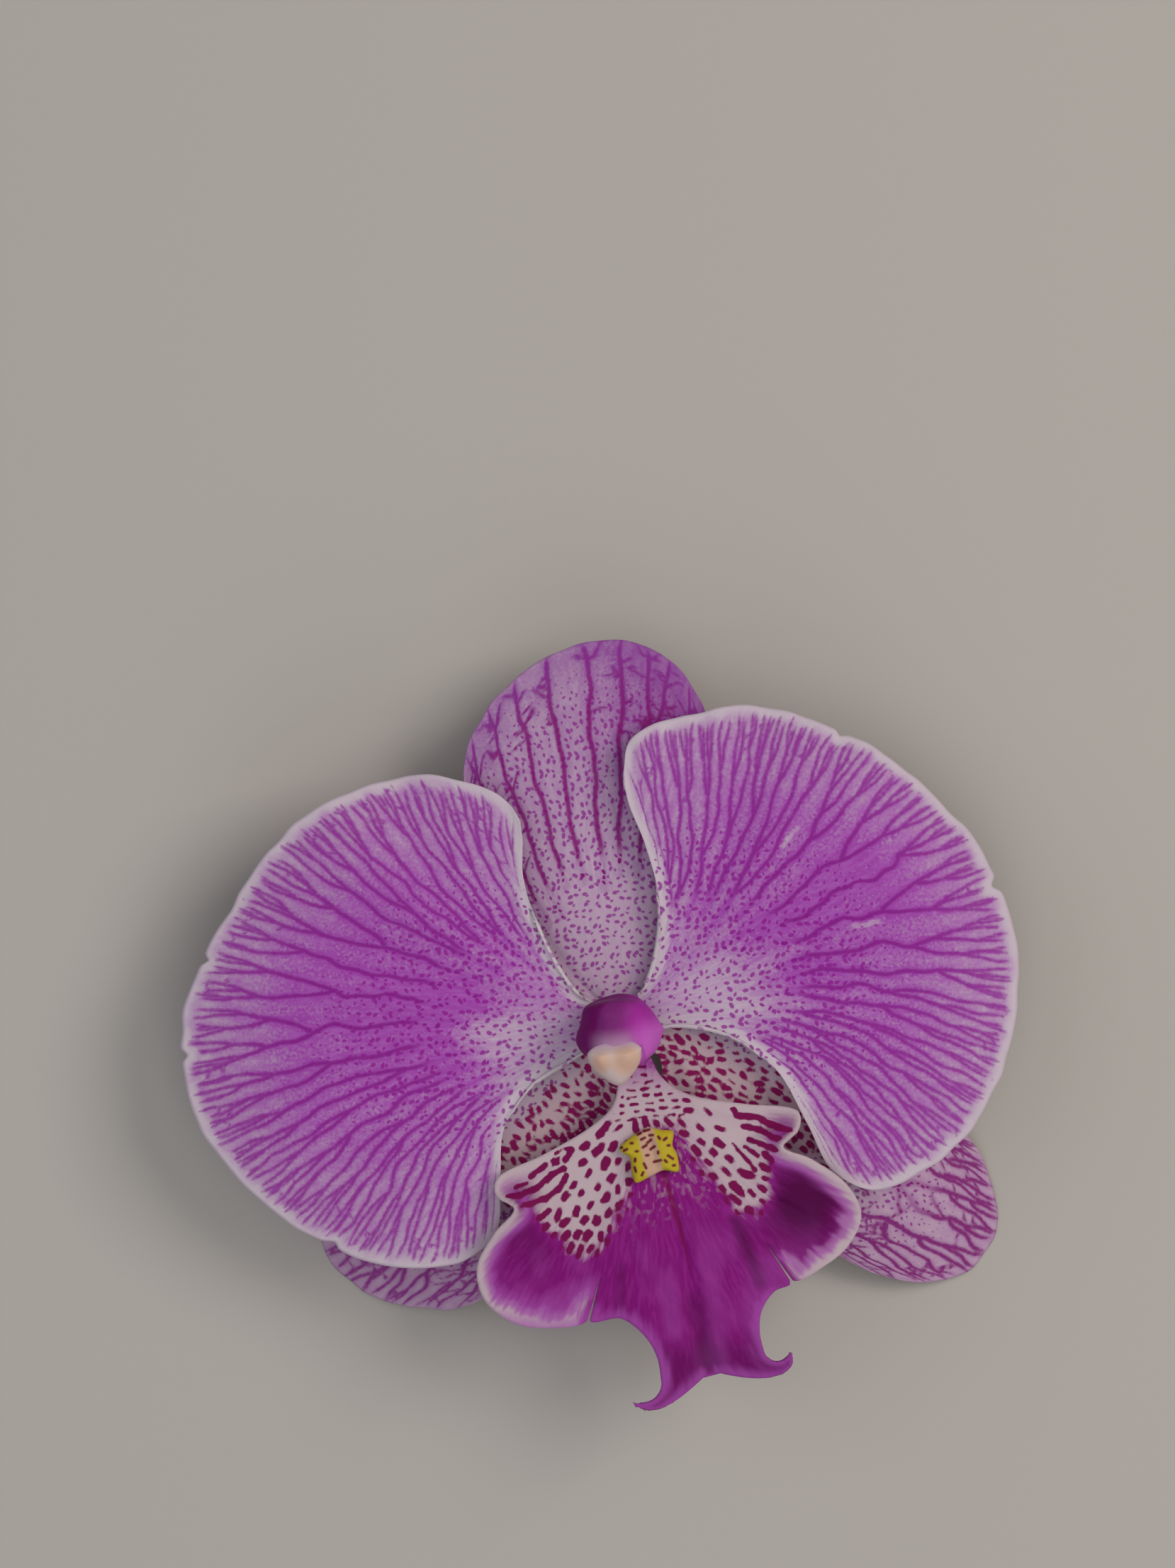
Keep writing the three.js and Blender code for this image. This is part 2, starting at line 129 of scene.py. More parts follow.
# Petals
# The two broad blades of the inner whorl. Each is a thin sheet of tissue with forking veins, widest
# far from its narrow claw, and the colour is cell sap: a veined lilac that gives way to white and dots.
def spline(points, places):
    """Points on the smooth curve through the given ones, at places counted from the first."""
    points = np.array(points, float)
    last = len(points) - 1
    padded = np.vstack([2 * points[0] - points[1], points, 2 * points[-1] - points[-2]])
    k = np.clip(np.floor(places).astype(int), 0, last - 1)
    w = (places - k)[:, None]
    a, b, c, d = (padded[k + n] for n in range(4))
    ab, bc, cd = (np.linalg.norm(q - p, axis=1)[:, None] ** 0.5 for p, q in ((a, b), (b, c), (c, d)))
    out = bc * ((b - a) / ab - (c - a) / (ab + bc) + (c - b) / bc)
    into = bc * ((c - b) / bc - (d - b) / (bc + cd) + (d - c) / cd)
    return b + out * w + (3 * (c - b) - 2 * out - into) * w ** 2 + (2 * (b - c) + out + into) * w ** 3


def evenly(curves, places, count):
    """Places along one or more curves that cut their joint length into equal parts."""
    fine = np.linspace(*places, 1500)
    steps = sum(np.linalg.norm(np.diff(spline(points, fine), axis=0), axis=1) for points in curves)
    length = np.concatenate([[0], np.cumsum(steps)])
    return np.interp(np.linspace(0, length[-1], count), length, fine)


def smooth(low, high, value):
    """0 before low and 1 past high, with a soft ramp between them. It falls if low is above high."""
    share = np.clip((value - low) / (high - low), 0, 1)
    return share * share * (3 - 2 * share)


lattice_cells = 97  # after how many cells the chance values repeat


def uneven(seed, u, v=0.0):
    """Soft chance values between -1 and 1, one unit of u or v apart."""
    lattice = np.random.default_rng(seed).uniform(-1, 1, (lattice_cells, lattice_cells))
    u, v = np.broadcast_arrays(u, v)
    i, j = np.floor(u).astype(int), np.floor(v).astype(int)
    a, b = smooth(0, 1, u - i), smooth(0, 1, v - j)
    i, j, past_i, past_j = (k % lattice_cells for k in (i, j, i + 1, j + 1))
    low = lattice[i, j] * (1 - a) + lattice[past_i, j] * a
    high = lattice[i, past_j] * (1 - a) + lattice[past_i, past_j] * a
    return low * (1 - b) + high * b


def measure(points):
    """A grid of points with its shares, and its lengths and distance from the outline in millimetres."""
    rows, columns = points.shape[:2]
    along = np.vstack([np.zeros(columns), np.cumsum(np.linalg.norm(np.diff(points, axis=0), axis=2), 0)])
    across = np.hstack([np.zeros((rows, 1)), np.cumsum(np.linalg.norm(np.diff(points, axis=1), axis=2), 1)])
    outline = np.vstack([points[:, 0], points[-1], points[::-1, -1]])[:, :2]
    flat = points[..., :2].reshape(-1, 2)
    rim = np.full(len(flat), 1e3)
    for spot in outline[::2]:
        np.minimum(rim, np.hypot(*(flat - spot).T), out=rim)
    s, t = np.meshgrid(np.linspace(0, 1, rows), np.linspace(0, 1, columns), indexing="ij")
    rim = rim.reshape(rows, columns)
    return {"points": points, "along": along, "across": across, "rim": rim, "s": s, "t": t}


def beyond(start, end, x, y):
    """Distance in millimetres from a straight line between two points."""
    ax, ay = start
    wx, wy = end[0] - ax, end[1] - ay
    share = np.clip(((x - ax) * wx + (y - ay) * wy) / (wx * wx + wy * wy), 0, 1)
    return np.hypot(x - ax - wx * share, y - ay - wy * share)


def headings(sheet):
    """Which way the lines of a sheet run at each point, as an angle from +X."""
    ahead = np.gradient(sheet["points"][..., :2], axis=0)
    return np.arctan2(ahead[..., 1], ahead[..., 0])


def blade(outline, shoulders, crown, columns, rows, seed, nicks=()):
    """The surface of a petal or sepal: a fan of lines from its claw to its far margin.

    A nick is its place, its depth and its width. The margin is also finely uneven all along."""
    first, second = shoulders
    s = np.linspace(0, 1, rows + 1)[:, None, None]
    places = evenly([outline], (first, second), columns + 1)
    t = ((places - first) / (second - first))[None, :, None]
    left = spline(outline, evenly([outline], (0, first), rows + 1))[:, None]
    right = spline(outline, evenly([outline], (len(outline) - 1, second), rows + 1))[:, None]
    far = spline(outline, places)[None]
    near = left[0] + (right[0] - left[0]) * t
    mm_along = np.linspace(0, np.linalg.norm(np.diff(far[0], axis=0), axis=1).sum(), columns + 1)
    trim = 0.22 * uneven(seed, mm_along / 2.6) + 0.3 * uneven(seed + 1, mm_along / 7)
    for x, y, depth, width in nicks:
        apart = np.hypot(far[0, :, 0] - x, far[0, :, 1] - y)
        trim = trim + depth * np.exp(-(apart / width) ** 2)
    trim = trim * smooth(0, 5, mm_along) * smooth(0, 5, mm_along[::-1])
    trim = trim[None, :, None] / np.linalg.norm(far - near, axis=2)[..., None]
    left_bend = left - left[0] - (left[-1] - left[0]) * s
    right_bend = right - right[0] - (right[-1] - right[0]) * s
    ease = smooth(0, 1, t)
    points = near + (far - near) * (s - trim * s ** 8) + left_bend * (1 - ease) + right_bend * ease
    s, t = s[..., 0], t[..., 0]
    wave = 0.4 * uneven(seed + 2, mm_along / 6) * s ** 5 + 0.16 * uneven(seed + 3, mm_along / 2) * s ** 9
    points[..., 2] += crown(t, s) + wave
    return measure(points)


def veins(sheet, seed, trunks, start, gap, half_mm, twigs, zone, reach_mm, sway_mm, end_mm,
          open_mm=2.2, rise=(0.7, 1.6)):
    """Distance in millimetres from each point of a sheet to the side of its nearest vein.

    The trunks fork wherever the strip that a vein serves grows wider than the gap, and each vein
    ends a little short of the margin. Twigs leave them inside a zone, and some reach the next vein."""
    draw = np.random.default_rng(seed)
    rows, columns = sheet["rim"].shape
    across = sheet["across"]
    grown = []

    def place_mm(place, j):
        where = np.clip(place * (columns - 1), 0, columns - 1.001)
        k = where.astype(int)
        return across[j, k] + (across[j, k + 1] - across[j, k]) * (where - k)

    def grow(low, high, row, place, thick):
        middle = (low + high) / 2
        j = np.arange(row, rows)
        wide = place_mm(np.full(len(j), high), j) - place_mm(np.full(len(j), low), j)
        over = np.nonzero(wide > gap(middle, j / (rows - 1)) * draw.uniform(0.75, 1.3))[0]
        over = over[over > 2]
        j = j[:over[0] + 1] if len(over) else j
        since = sheet["along"][j, int(middle * (columns - 1))]
        since = since - since[0]
        sway = np.sin(since / draw.uniform(0.5, 0.9) + draw.uniform(0, 6.3)) * 0.35
        sway = (sway + np.sin(since / draw.uniform(1.2, 2.6) + draw.uniform(0, 6.3))) * sway_mm
        line = np.full(rows, np.nan)
        share_of_mm = max(high - low, 1e-6) / max(wide[0], 0.3)
        line[j] = middle + (place - middle) * np.exp(-since / open_mm)
        line[j] += sway * share_of_mm * (1 - np.exp(-since / 2))
        body = np.full(rows, np.nan)
        mine = half_mm[0] + (half_mm[1] - half_mm[0]) * min(1.0, (high - low) * trunks * 1.4)
        body[j] = mine + (thick - mine) * np.exp(-since / 3)
        grown.append((line, body))
        if len(over):
            cut = low + (high - low) * draw.uniform(0.33, 0.67)
            grow(low, cut, j[-1], line[j[-1]], body[j[-1]])
            grow(cut, high, j[-1], line[j[-1]], body[j[-1]])

    marks = np.linspace(0, 1, trunks + 1)
    marks[1:-1] += draw.uniform(-0.2, 0.2, trunks - 1) / trunks
    for low, high in zip(marks[:-1], marks[1:]):
        grow(low, high, int((start + draw.uniform(-0.04, 0.04)) * rows), (low + high) / 2, half_mm[1])

    for _ in range(twigs):
        share, row = draw.random(), int(draw.uniform(start + 0.1, 0.97) * rows)
        if draw.random() > zone[row, int(share * (columns - 1))]:
            continue
        live = np.array([line[row] for line, body in grown if line[row] == line[row]])
        ends = [max(live[live < share], default=0), min(live[live >= share], default=1)]
        ends = ends[::draw.choice((-1, 1))]
        strip = ends[1] - ends[0]
        reach = min(1, draw.uniform(*reach_mm) / max(abs(strip) * across[row, -1], 0.01)) * strip
        steps = abs(reach) * across[row, -1] * draw.uniform(*rise) / sheet["along"][-1].mean() * rows
        steps = min(max(int(steps), 3), rows - row)
        line, body = np.full(rows, np.nan), np.full(rows, np.nan)
        part = np.linspace(0, 1, steps)
        curl = draw.uniform(-1, 1) * (0.1 + 0.6 * sway_mm) / across[row, -1]
        line[row:row + steps] = ends[0] + reach * part ** draw.uniform(0.6, 1.3)
        line[row:row + steps] += curl * np.sin(math.pi * 1.6 * part)
        body[row:row + steps] = half_mm[0] * np.linspace(1.1, 0.7, steps)
        grown.append((line, body))

    lines, bodies = (np.array(part) for part in zip(*grown))
    stop = draw.uniform(*end_mm, len(lines))
    distance = np.full((rows, columns), 9.0)
    for j in range(1, rows):
        live = np.nonzero(~np.isnan(lines[:, j]))[0]
        if not len(live):
            continue
        x = place_mm(lines[live, j], j)
        column = np.clip((lines[live, j] * (columns - 1)).astype(int), 0, columns - 1)
        before = np.where(np.isnan(lines[live, j - 1]), lines[live, j], lines[live, j - 1])
        slope = (x - place_mm(before, j)) / (sheet["along"][j, column] - sheet["along"][j - 1, column])
        room = sheet["rim"][j, column] - stop[live]
        thin = bodies[live, j] * smooth(-0.2, 0.8, room) - 0.4 * smooth(0.0, -0.5, room)
        gaps = np.abs(across[j][None] - x[:, None]) / np.sqrt(1 + slope[:, None] ** 2) - thin[:, None]
        distance[j] = gaps.min(0)
    return distance


def spots(flat, seed, zone, order, spacing, heading, stretch, size, gap, tries=5000):
    """Distance to the side of the nearest of some spots, packed over a zone and never touching.

    They are laid down in order. Each is longer along its heading by its stretch, and sizes are half
    widths in millimetres."""
    draw = np.random.default_rng(seed)
    shape = zone.shape
    flat = flat.reshape(-1, 2)
    spacing, heading, stretch, size, gap = (
        np.broadcast_to(a, shape).ravel() for a in (spacing, heading, stretch, size, gap))

    def apart(pick, others):
        x, y = (others - flat[pick]).T
        cos, sin = math.cos(heading[pick]), math.sin(heading[pick])
        return np.cbrt(abs(y * cos - x * sin) ** 3 + abs((x * cos + y * sin) / stretch[pick]) ** 3)

    placed = []
    picks = draw.choice(np.nonzero(zone.ravel())[0], tries)
    for pick in picks[np.argsort(order.ravel()[picks] + draw.uniform(0, 0.5, tries))]:
        if not placed or apart(pick, flat[placed]).min() > spacing[pick]:
            placed.append(pick)
    first, second, half = (np.full(len(flat), 99.0) for _ in range(3))
    for pick in placed:
        reach = apart(pick, flat)
        nearer = reach < first
        second = np.where(nearer, first, np.minimum(second, reach))
        half[nearer] = size[pick] * draw.uniform(0.75, 1.2)
        first = np.minimum(first, reach)
    return np.maximum(first - half, (gap - second + first) / 2).reshape(shape)


marks_and_defaults = {
    "vein": 9, "spot": 9, "tint": 0, "shade": 0, "warm": 0, "dots": 0, "held": 1, "bold": 0, "heading": 0}


def as_object(name, bm, marks, finishes):
    """A smooth object from a finished bmesh, with its marks as attributes and its materials."""
    mesh = bpy.data.meshes.new(name)
    bm.to_mesh(mesh)
    bm.free()
    mesh.shade_smooth()
    for key, column in marks.items():
        mesh.attributes.new(key, "FLOAT", "POINT").data.foreach_set("value", column.astype(np.float32))
    for skin in finishes:
        mesh.materials.append(skin)
    piece = bpy.data.objects.new(name, mesh)
    bpy.context.scene.collection.objects.link(piece)
    return piece


taper_mm = 1.4  # how far from its margin a blade begins to thin
margin_share = 0.45  # the share of its thickness that is left there


def thin_piece(name, bm, points, rim, marks, thickness_mm, finishes):
    """A flat net of faces is laid over a blade's surface and given its thickness from behind."""
    for vert, place in zip(bm.verts, (points + bloom_middle_mm) * MM):
        vert.co = place
    bm.normal_update()
    if sum(face.normal.z for face in bm.faces) < 0:
        bmesh.ops.reverse_faces(bm, faces=bm.faces)
    marks = {
        key: np.broadcast_to(marks.get(key, usual), rim.shape) for key, usual in marks_and_defaults.items()}
    piece = as_object(name, bm, marks, finishes)
    body = piece.vertex_groups.new(name="body")
    weights = np.round(smooth(0, taper_mm, rim), 2)
    for weight in np.unique(weights):
        body.add(np.nonzero(weights == weight)[0].tolist(), float(weight), "REPLACE")
    thick = piece.modifiers.new("thickness", "SOLIDIFY")
    thick.thickness = thickness_mm * MM
    thick.offset = -1
    thick.vertex_group = "body"
    thick.thickness_vertex_group = margin_share
    thick.material_offset = 1
    thick.material_offset_rim = 0
    return piece


def sheet_piece(name, sheet, thickness_mm, values, finishes):
    """A thin piece from the lines of a fan."""
    rows, columns = sheet["rim"].shape
    bm = bmesh.new()
    bmesh.ops.create_grid(bm, x_segments=columns - 1, y_segments=rows - 1, size=1.0)
    grid = np.array([v.co for v in bm.verts])
    i = np.round((grid[:, 0] + 1) / 2 * (columns - 1)).astype(int)
    j = np.round((grid[:, 1] + 1) / 2 * (rows - 1)).astype(int)
    marks = {key: np.broadcast_to(value, (rows, columns))[j, i] for key, value in values.items()}
    return thin_piece(name, bm, sheet["points"][j, i], sheet["rim"][j, i], marks, thickness_mm, finishes)


def tissue(name, pale, ground, light, vein, dot, shade="6e1365", warm="d8c9a0", spot="78184b",
           dot_mm=1.1, bare=0.92, mottling=0.1, fan_mm=(0, 0), feathering=4.0):
    """Living tissue: a fine crystalline skin over coloured cells, matt with a soft sheen.

    The attributes say where each colour lies. Veins and spots are drawn where their distance falls
    below nothing, and the small dots are about dot_mm apart. Fine fibres fan out from one place, which
    lighten the ground and feather its edges."""
    material = new_material(name, {
        "Roughness": 0.62, "Specular IOR Level": 0.07, "Subsurface Weight": 0.05, "Subsurface Scale": 0.0006})
    tree = material.node_tree
    shader = tree.nodes["Principled BSDF"]
    in_metres = add(tree, "TexCoord", out="Object")
    place = add(tree, "Mapping", {"Vector": in_metres, "Scale": (1 / MM, 1 / MM, 1 / MM)})
    mark = {key: add(tree, "Attribute", out="Fac", attribute_name=key) for key in marks_and_defaults}

    # Fibres: noise with 52 cells to a radian round the claw, and one to about 2 mm away from it.
    claw = (*(bloom_middle_mm[:2] + fan_mm), 0)
    off = add(tree, "VectorMath", (place, claw), operation="SUBTRACT")
    off = add(tree, "VectorMath", (off, (1, 1, 0)), operation="MULTIPLY")
    length = add(tree, "VectorMath", (off,), "Value", operation="LENGTH")
    length = add(tree, "Math", (length, 0.45), operation="MULTIPLY")
    length = add(tree, "CombineXYZ", {"Z": length})
    around = add(tree, "VectorMath", (off,), operation="NORMALIZE")
    around = add(tree, "VectorMath", (around, (52, 52, 0), length), operation="MULTIPLY_ADD")
    fibre = add(tree, "TexNoise", {"Vector": around, "Scale": 1.0, "Detail": 3.0}, "Fac")
    fibre = add(tree, "Math", (fibre, 0.5), operation="SUBTRACT")

    # Veins and blotches: their distances, with an uneven side.
    ragged = add(tree, "TexNoise", {"Vector": place, "Scale": 2.0, "Detail": 2.0}, "Fac")
    ragged = add(tree, "Math", (ragged, 0.5), operation="SUBTRACT")
    ragged = add(tree, "Math", (ragged, 0.3), operation="MULTIPLY")
    line = add(tree, "Math", (mark["vein"], ragged), operation="ADD")
    line = add(tree, "MapRange", (line, 0.22, -0.13), interpolation_type="SMOOTHSTEP")
    blotch = add(tree, "TexNoise", {"Vector": place, "Scale": 0.9, "Detail": 2.0}, "Fac")
    blotch = add(tree, "Math", (blotch, 0.5), operation="SUBTRACT")
    blotch = add(tree, "Math", (blotch, 0.6), operation="MULTIPLY")
    blotch = add(tree, "Math", (mark["spot"], blotch), operation="ADD")
    blotch = add(tree, "MapRange", (blotch, 0.09, -0.07), interpolation_type="SMOOTHSTEP")

    # Dots: one to a cell, each a short dash that is turned and sized by chance.
    cells = add(tree, "TexVoronoi", {"Vector": place, "Scale": 1 / dot_mm, "Randomness": 0.8},
                voronoi_dimensions="2D").node
    chance = add(tree, "SeparateColor", (cells.outputs["Color"],)).node
    turn = add(tree, "Math", (chance.outputs[1], 0.5), operation="SUBTRACT")
    turn = add(tree, "Math", (turn, 2.2), operation="MULTIPLY")
    turn = add(tree, "Math", (turn, mark["heading"]), operation="SUBTRACT")
    off = add(tree, "VectorMath", (place, cells.outputs["Position"]), operation="SUBTRACT")
    off = add(tree, "VectorMath", (off, (1, 1, 0)), operation="MULTIPLY")
    off = add(tree, "VectorRotate", {"Vector": off, "Angle": turn}, rotation_type="Z_AXIS")
    off = add(tree, "VectorMath", (off, (0.6, 1, 1)), operation="MULTIPLY")
    off = add(tree, "VectorMath", (off,), "Value", operation="LENGTH")
    sizes = (chance.outputs[0], 0.0, 1.0, 0.14 * dot_mm, 0.25 * dot_mm)
    reach = add(tree, "MapRange", sizes, interpolation_type="SMOOTHSTEP")
    reach = add(tree, "Math", (reach, mark["dots"]), operation="MULTIPLY")
    dots = add(tree, "Math", (off, reach), operation="SUBTRACT")
    less_ragged = add(tree, "Math", (ragged, 0.35), operation="MULTIPLY")
    dots = add(tree, "Math", (dots, less_ragged), operation="ADD")
    dots = add(tree, "MapRange", (dots, 0.05, -0.05), interpolation_type="SMOOTHSTEP")

    # Where a vein isn't held together, it shows only in its dots.
    held = add(tree, "Math", (mark["held"], 1.6), operation="MULTIPLY")
    held = add(tree, "Math", (dots, held), operation="ADD")
    held = add(tree, "MapRange", (held, 0.5, 1.0), interpolation_type="SMOOTHSTEP")
    line = add(tree, "Math", (line, held), operation="MULTIPLY")

    # The wash of sap, mottled, and feathered by the fibres where it is neither full nor empty.
    mottle = add(tree, "TexNoise", {"Vector": place, "Scale": 2.6, "Detail": 3.0}, "Fac")
    depth = (mottle, 0.2, 0.8, 1 - mottling, 1 + mottling / 2)
    wash = add(tree, "MapRange", depth, interpolation_type="SMOOTHSTEP")
    wash = add(tree, "Math", (mark["tint"], wash), operation="MULTIPLY")
    partly = add(tree, "Math", (1.0, wash), operation="SUBTRACT")
    partly = add(tree, "Math", (wash, partly), operation="MULTIPLY")
    partly = add(tree, "Math", (partly, 0.0), operation="MAXIMUM")
    feather = add(tree, "Math", (fibre, feathering), operation="MULTIPLY")
    wash = add(tree, "Math", (partly, feather, wash), operation="MULTIPLY_ADD")
    lit = (fibre, -0.12, 0.2, 0.0, 0.6)
    lit = add(tree, "MapRange", lit, interpolation_type="SMOOTHSTEP")
    sap = add(tree, "Mix", {0: lit, 6: linear(ground), 7: linear(light)}, 2, data_type="RGBA")
    colour = add(tree, "Mix", {0: wash, 6: linear(pale), 7: sap}, 2, data_type="RGBA")

    dots = add(tree, "Math", (dots, 0.85), operation="MULTIPLY")
    for amount, over in (mark["shade"], shade), (mark["warm"], warm), (dots, dot), (blotch, spot):
        colour = add(tree, "Mix", {0: amount, 6: colour, 7: linear(over)}, 2, data_type="RGBA")
    line = add(tree, "Math", (line, bare), operation="MULTIPLY")
    vein = {0: mark["bold"], 6: linear(vein[0]), 7: linear(vein[1])}
    vein = add(tree, "Mix", vein, 2, data_type="RGBA")
    colour = add(tree, "Mix", {0: line, 6: colour, 7: vein}, 2, data_type="RGBA")
    tree.links.new(colour, shader.inputs["Base Color"])

    sunk = add(tree, "MapRange", (mark["vein"], 0.5, -0.2), interpolation_type="SMOOTHSTEP")
    height = add(tree, "Math", (mottle, 0.15), operation="MULTIPLY")
    height = add(tree, "Math", (height, sunk), operation="SUBTRACT")
    bump = add(tree, "Bump", {"Height": height, "Strength": 0.4, "Distance": 0.00012})
    tree.links.new(bump, shader.inputs["Normal"])
    return material


def finish(piece, node):
    """Lets a piece take the place of its CAD node."""
    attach(piece, "root")
    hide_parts(node)


petal_thickness_mm = 0.7


def petal_crown(t, s):
    """A petal's gentle doming, with soft pleats that follow the main veins."""
    doming = 2.2 * 4 * s * (1 - s) * (0.4 + 0.6 * np.sin(math.pi * t))
    return doming + 0.22 * uneven(5, t * 17, s * 2.0) * smooth(0.2, 0.6, s)


def petal_gap(t, s):
    """How wide a strip one vein serves: wide in a petal's middle, narrow in its lobes and at its margin."""
    middle = 3.4 * math.exp(-((t - 0.47) / 0.19) ** 2)
    return 1.65 + middle * smooth(0.94, 0.62, s) - 0.6 * smooth(0.7, 0.86, s)


# Petal tissue, seen from the front: velvety lilac that fades to white at the margin, with purple veins.
petal_face = tissue("petal skin", "d2c3d1", "a94ab4", "b667c2", ("9c38a2", "902093"), "991f9b", dot_mm=1.0,
                    mottling=0.25)
# The same tissue from behind: paler, with the veins only showing through.
petal_back = tissue("petal reverse", "d6cad3", "c08cc6", "cda6d0", ("a35cae", "9a50a4"), "b684bb", bare=0.5)


def make_petal(name, node, outline, shoulders, nicks, scars, white_to, seed):
    """One petal: its nicks and scars, and how far from its claw the white reaches."""
    sheet = blade(outline, shoulders, petal_crown, 450, 104, seed, nicks)
    s, t, rim = sheet["s"], sheet["t"], sheet["rim"]
    middle = np.exp(-((t - 0.5) / 0.3) ** 2)
    patchy = uneven(seed + 7, t * 9, s * 5)
    feathered = rim + 0.45 * uneven(seed + 8, t * 80, s * 14)
    spread = smooth(white_to, white_to + 0.27, s + 0.05 * patchy + 0.27 * smooth(0.6, 0.0, t))
    x, y = sheet["points"][..., 0], sheet["points"][..., 1]
    frayed = 0.25 * uneven(seed, x * 2, y * 2)
    scarred = sum(smooth(0.4, 0.1, beyond(*scar, x, y) + frayed) for scar in scars)
    twigged = smooth(7, 3, rim) * smooth(0.6, 0.8, s)
    lines = 9 * scarred + veins(sheet, seed, 16, 0.27, petal_gap, (0.12, 0.22), 260, twigged, (0.3, 0.9),
                                sway_mm=0.17, end_mm=(0.6, 1.7))
    ground = 0.22 + 0.12 * smooth(1, 5, rim) + (0.16 + 0.42 * middle) * smooth(1.0, 0.62, s)
    ground = ground + 0.08 * patchy - 0.4 * scarred
    wash = ground + 0.26 * np.exp(-np.maximum(lines, 0) / 0.45)
    values = {
        "vein": lines,
        "tint": (0.12 + 0.36 * smooth(0.3, 0.0, s) + spread * wash) * smooth(0.3, 1.7, feathered),
        "dots": smooth(0.76, 0.42, s) * (0.75 + 0.25 * smooth(0.0, 0.25, s)),
        "held": smooth(0.25, 0.5, s),
        "bold": (0.3 + 0.7 * middle) * smooth(1.0, 0.6, s),
        "heading": headings(sheet),
    }
    piece = sheet_piece(name, sheet, petal_thickness_mm, values, (petal_face, petal_back))
    finish(piece, node)


make_petal("petal_left_blade", "petal_left", [
    (-1.7, 2.3, 0.9), (-4.4, 3.4, 1.4), (-6.8, 7.2, 2.2), (-8.6, 12.4, 3.0), (-9.6, 18.2, 3.6),
    (-9.3, 24.0, 4.2), (-11.4, 28.2, 4.2), (-17.4, 30.8, 3.4), (-25.0, 31.3, 3.0), (-32.0, 29.3, 3.4),
    (-38.6, 24.9, 2.8), (-44.6, 18.3, 1.3), (-49.4, 10.8, 0.9), (-52.2, 3.6, 0.0), (-52.0, -4.4, -0.3),
    (-48.6, -12.4, 0.7), (-42.7, -19.6, 0.5), (-35.4, -24.2, 1.0), (-28.0, -26.8, 1.9), (-21.4, -26.7, 2.1),
    (-17.2, -23.6, 2.4), (-16.1, -17.6, 2.7), (-15.0, -11.4, 2.7), (-11.5, -6.7, 2.2), (-6.4, -4.1, 1.5),
    (-1.9, -2.3, 0.9),
], (5, 20), [(-48.6, 12.2, 0.7, 0.5), (-52.2, 1.1, 1.0, 0.6), (-37.2, -23.2, 0.7, 0.8)], [], 0.09, 11)

make_petal("petal_right_blade", "petal_right", [
    (1.7, 2.3, 0.9), (3.8, 4.0, 1.4), (5.7, 8.6, 2.2), (6.2, 14.0, 3.0), (5.2, 20.4, 3.7), (3.6, 26.8, 4.3),
    (4.8, 33.0, 4.4), (10.6, 35.1, 3.9), (18.0, 35.4, 3.3), (25.6, 33.6, 3.3), (32.8, 29.6, 3.4),
    (39.2, 23.8, 2.6), (44.4, 17.0, 1.5), (47.0, 9.4, 0.9), (47.9, 1.2, 0.1), (46.6, -7.4, 0.0),
    (42.0, -15.4, 0.9), (35.0, -21.3, 1.0), (28.2, -23.3, 1.8), (23.4, -20.6, 2.4), (20.9, -14.6, 2.7),
    (17.8, -7.6, 2.6), (12.6, -2.9, 2.2), (6.6, -1.2, 1.6), (1.9, -1.9, 0.9),
], (5, 19), [(46.4, 11.3, 0.9, 0.7), (30.2, 31.6, 0.6, 0.6)], [
    ((21.4, 18.6), (23.4, 20.5)), ((28.8, 8.2), (32.0, 8.4)),
], 0.14, 12)


# Sepals
# The outer whorl of three, behind the petals: narrower and firmer sheets of the same tissue. Their
# veins run their length and knot into a net toward the tips, and the lateral two are blotched inside.
sepal_thickness_mm = 0.7
# Dorsal sepal tissue: duller and greyer than a petal's, with long purple veins between rows of dots.
dorsal_face = tissue("dorsal sepal skin", "ccb3ca", "9c56a8", "ac76b4", ("93309a", "8c1a7c"), "962698",
                     dot_mm=0.9, mottling=0.25)
# Lateral sepal tissue: pale, with maroon blotches on warm cream inside and a purple net near the tip.
lateral_face = tissue("lateral sepal skin", "d2bccc", "a868ac", "b888ba", ("9c3a9c", "88207a"), "952c92",
                      spot="951a62", warm="d6b8bc", dot_mm=0.9)
# The reverse of all three: greenish cream, with the colour only showing through.
sepal_back = tissue("sepal reverse", "cdbf9e", "c9a3bd", "c6b0b4", ("a06a98", "97588c"), "c3ad9a", bare=0.45)


def dorsal_crown(t, s):
    """The dorsal sepal's doming, with a shallow pleat along each long vein."""
    return 2.4 * np.sin(math.pi * t) * np.sin(0.78 * math.pi * s) + 0.16 * uneven(21, t * 10, s * 1.5)


def dorsal_gap(t, s):
    """Long lone veins that hardly fork."""
    return 6.0


dorsal = blade([
    (-2.3, 1.9, -0.5), (-4.1, 3.4, -0.3), (-7.5, 7.8, -0.5), (-11.0, 14.5, -0.8), (-14.1, 22.7, -1.2),
    (-15.6, 29.8, -1.6), (-15.0, 33.7, -1.9), (-12.9, 37.3, -2.2), (-9.7, 40.9, -2.5), (-5.6, 43.7, -2.8),
    (-1.5, 45.0, -3.0), (2.8, 45.2, -3.0), (6.4, 44.6, -2.8), (9.5, 43.1, -2.5), (11.9, 40.5, -2.2),
    (13.4, 37.5, -1.9), (14.2, 34.3, -1.6), (13.1, 27.8, -1.2), (10.3, 20.2, -0.8), (7.3, 12.6, -0.5),
    (4.8, 6.2, -0.3), (2.2, 1.9, -0.5),
], (4, 17), dorsal_crown, 220, 140, seed=21)
s, t, rim = dorsal["s"], dorsal["t"], dorsal["rim"]
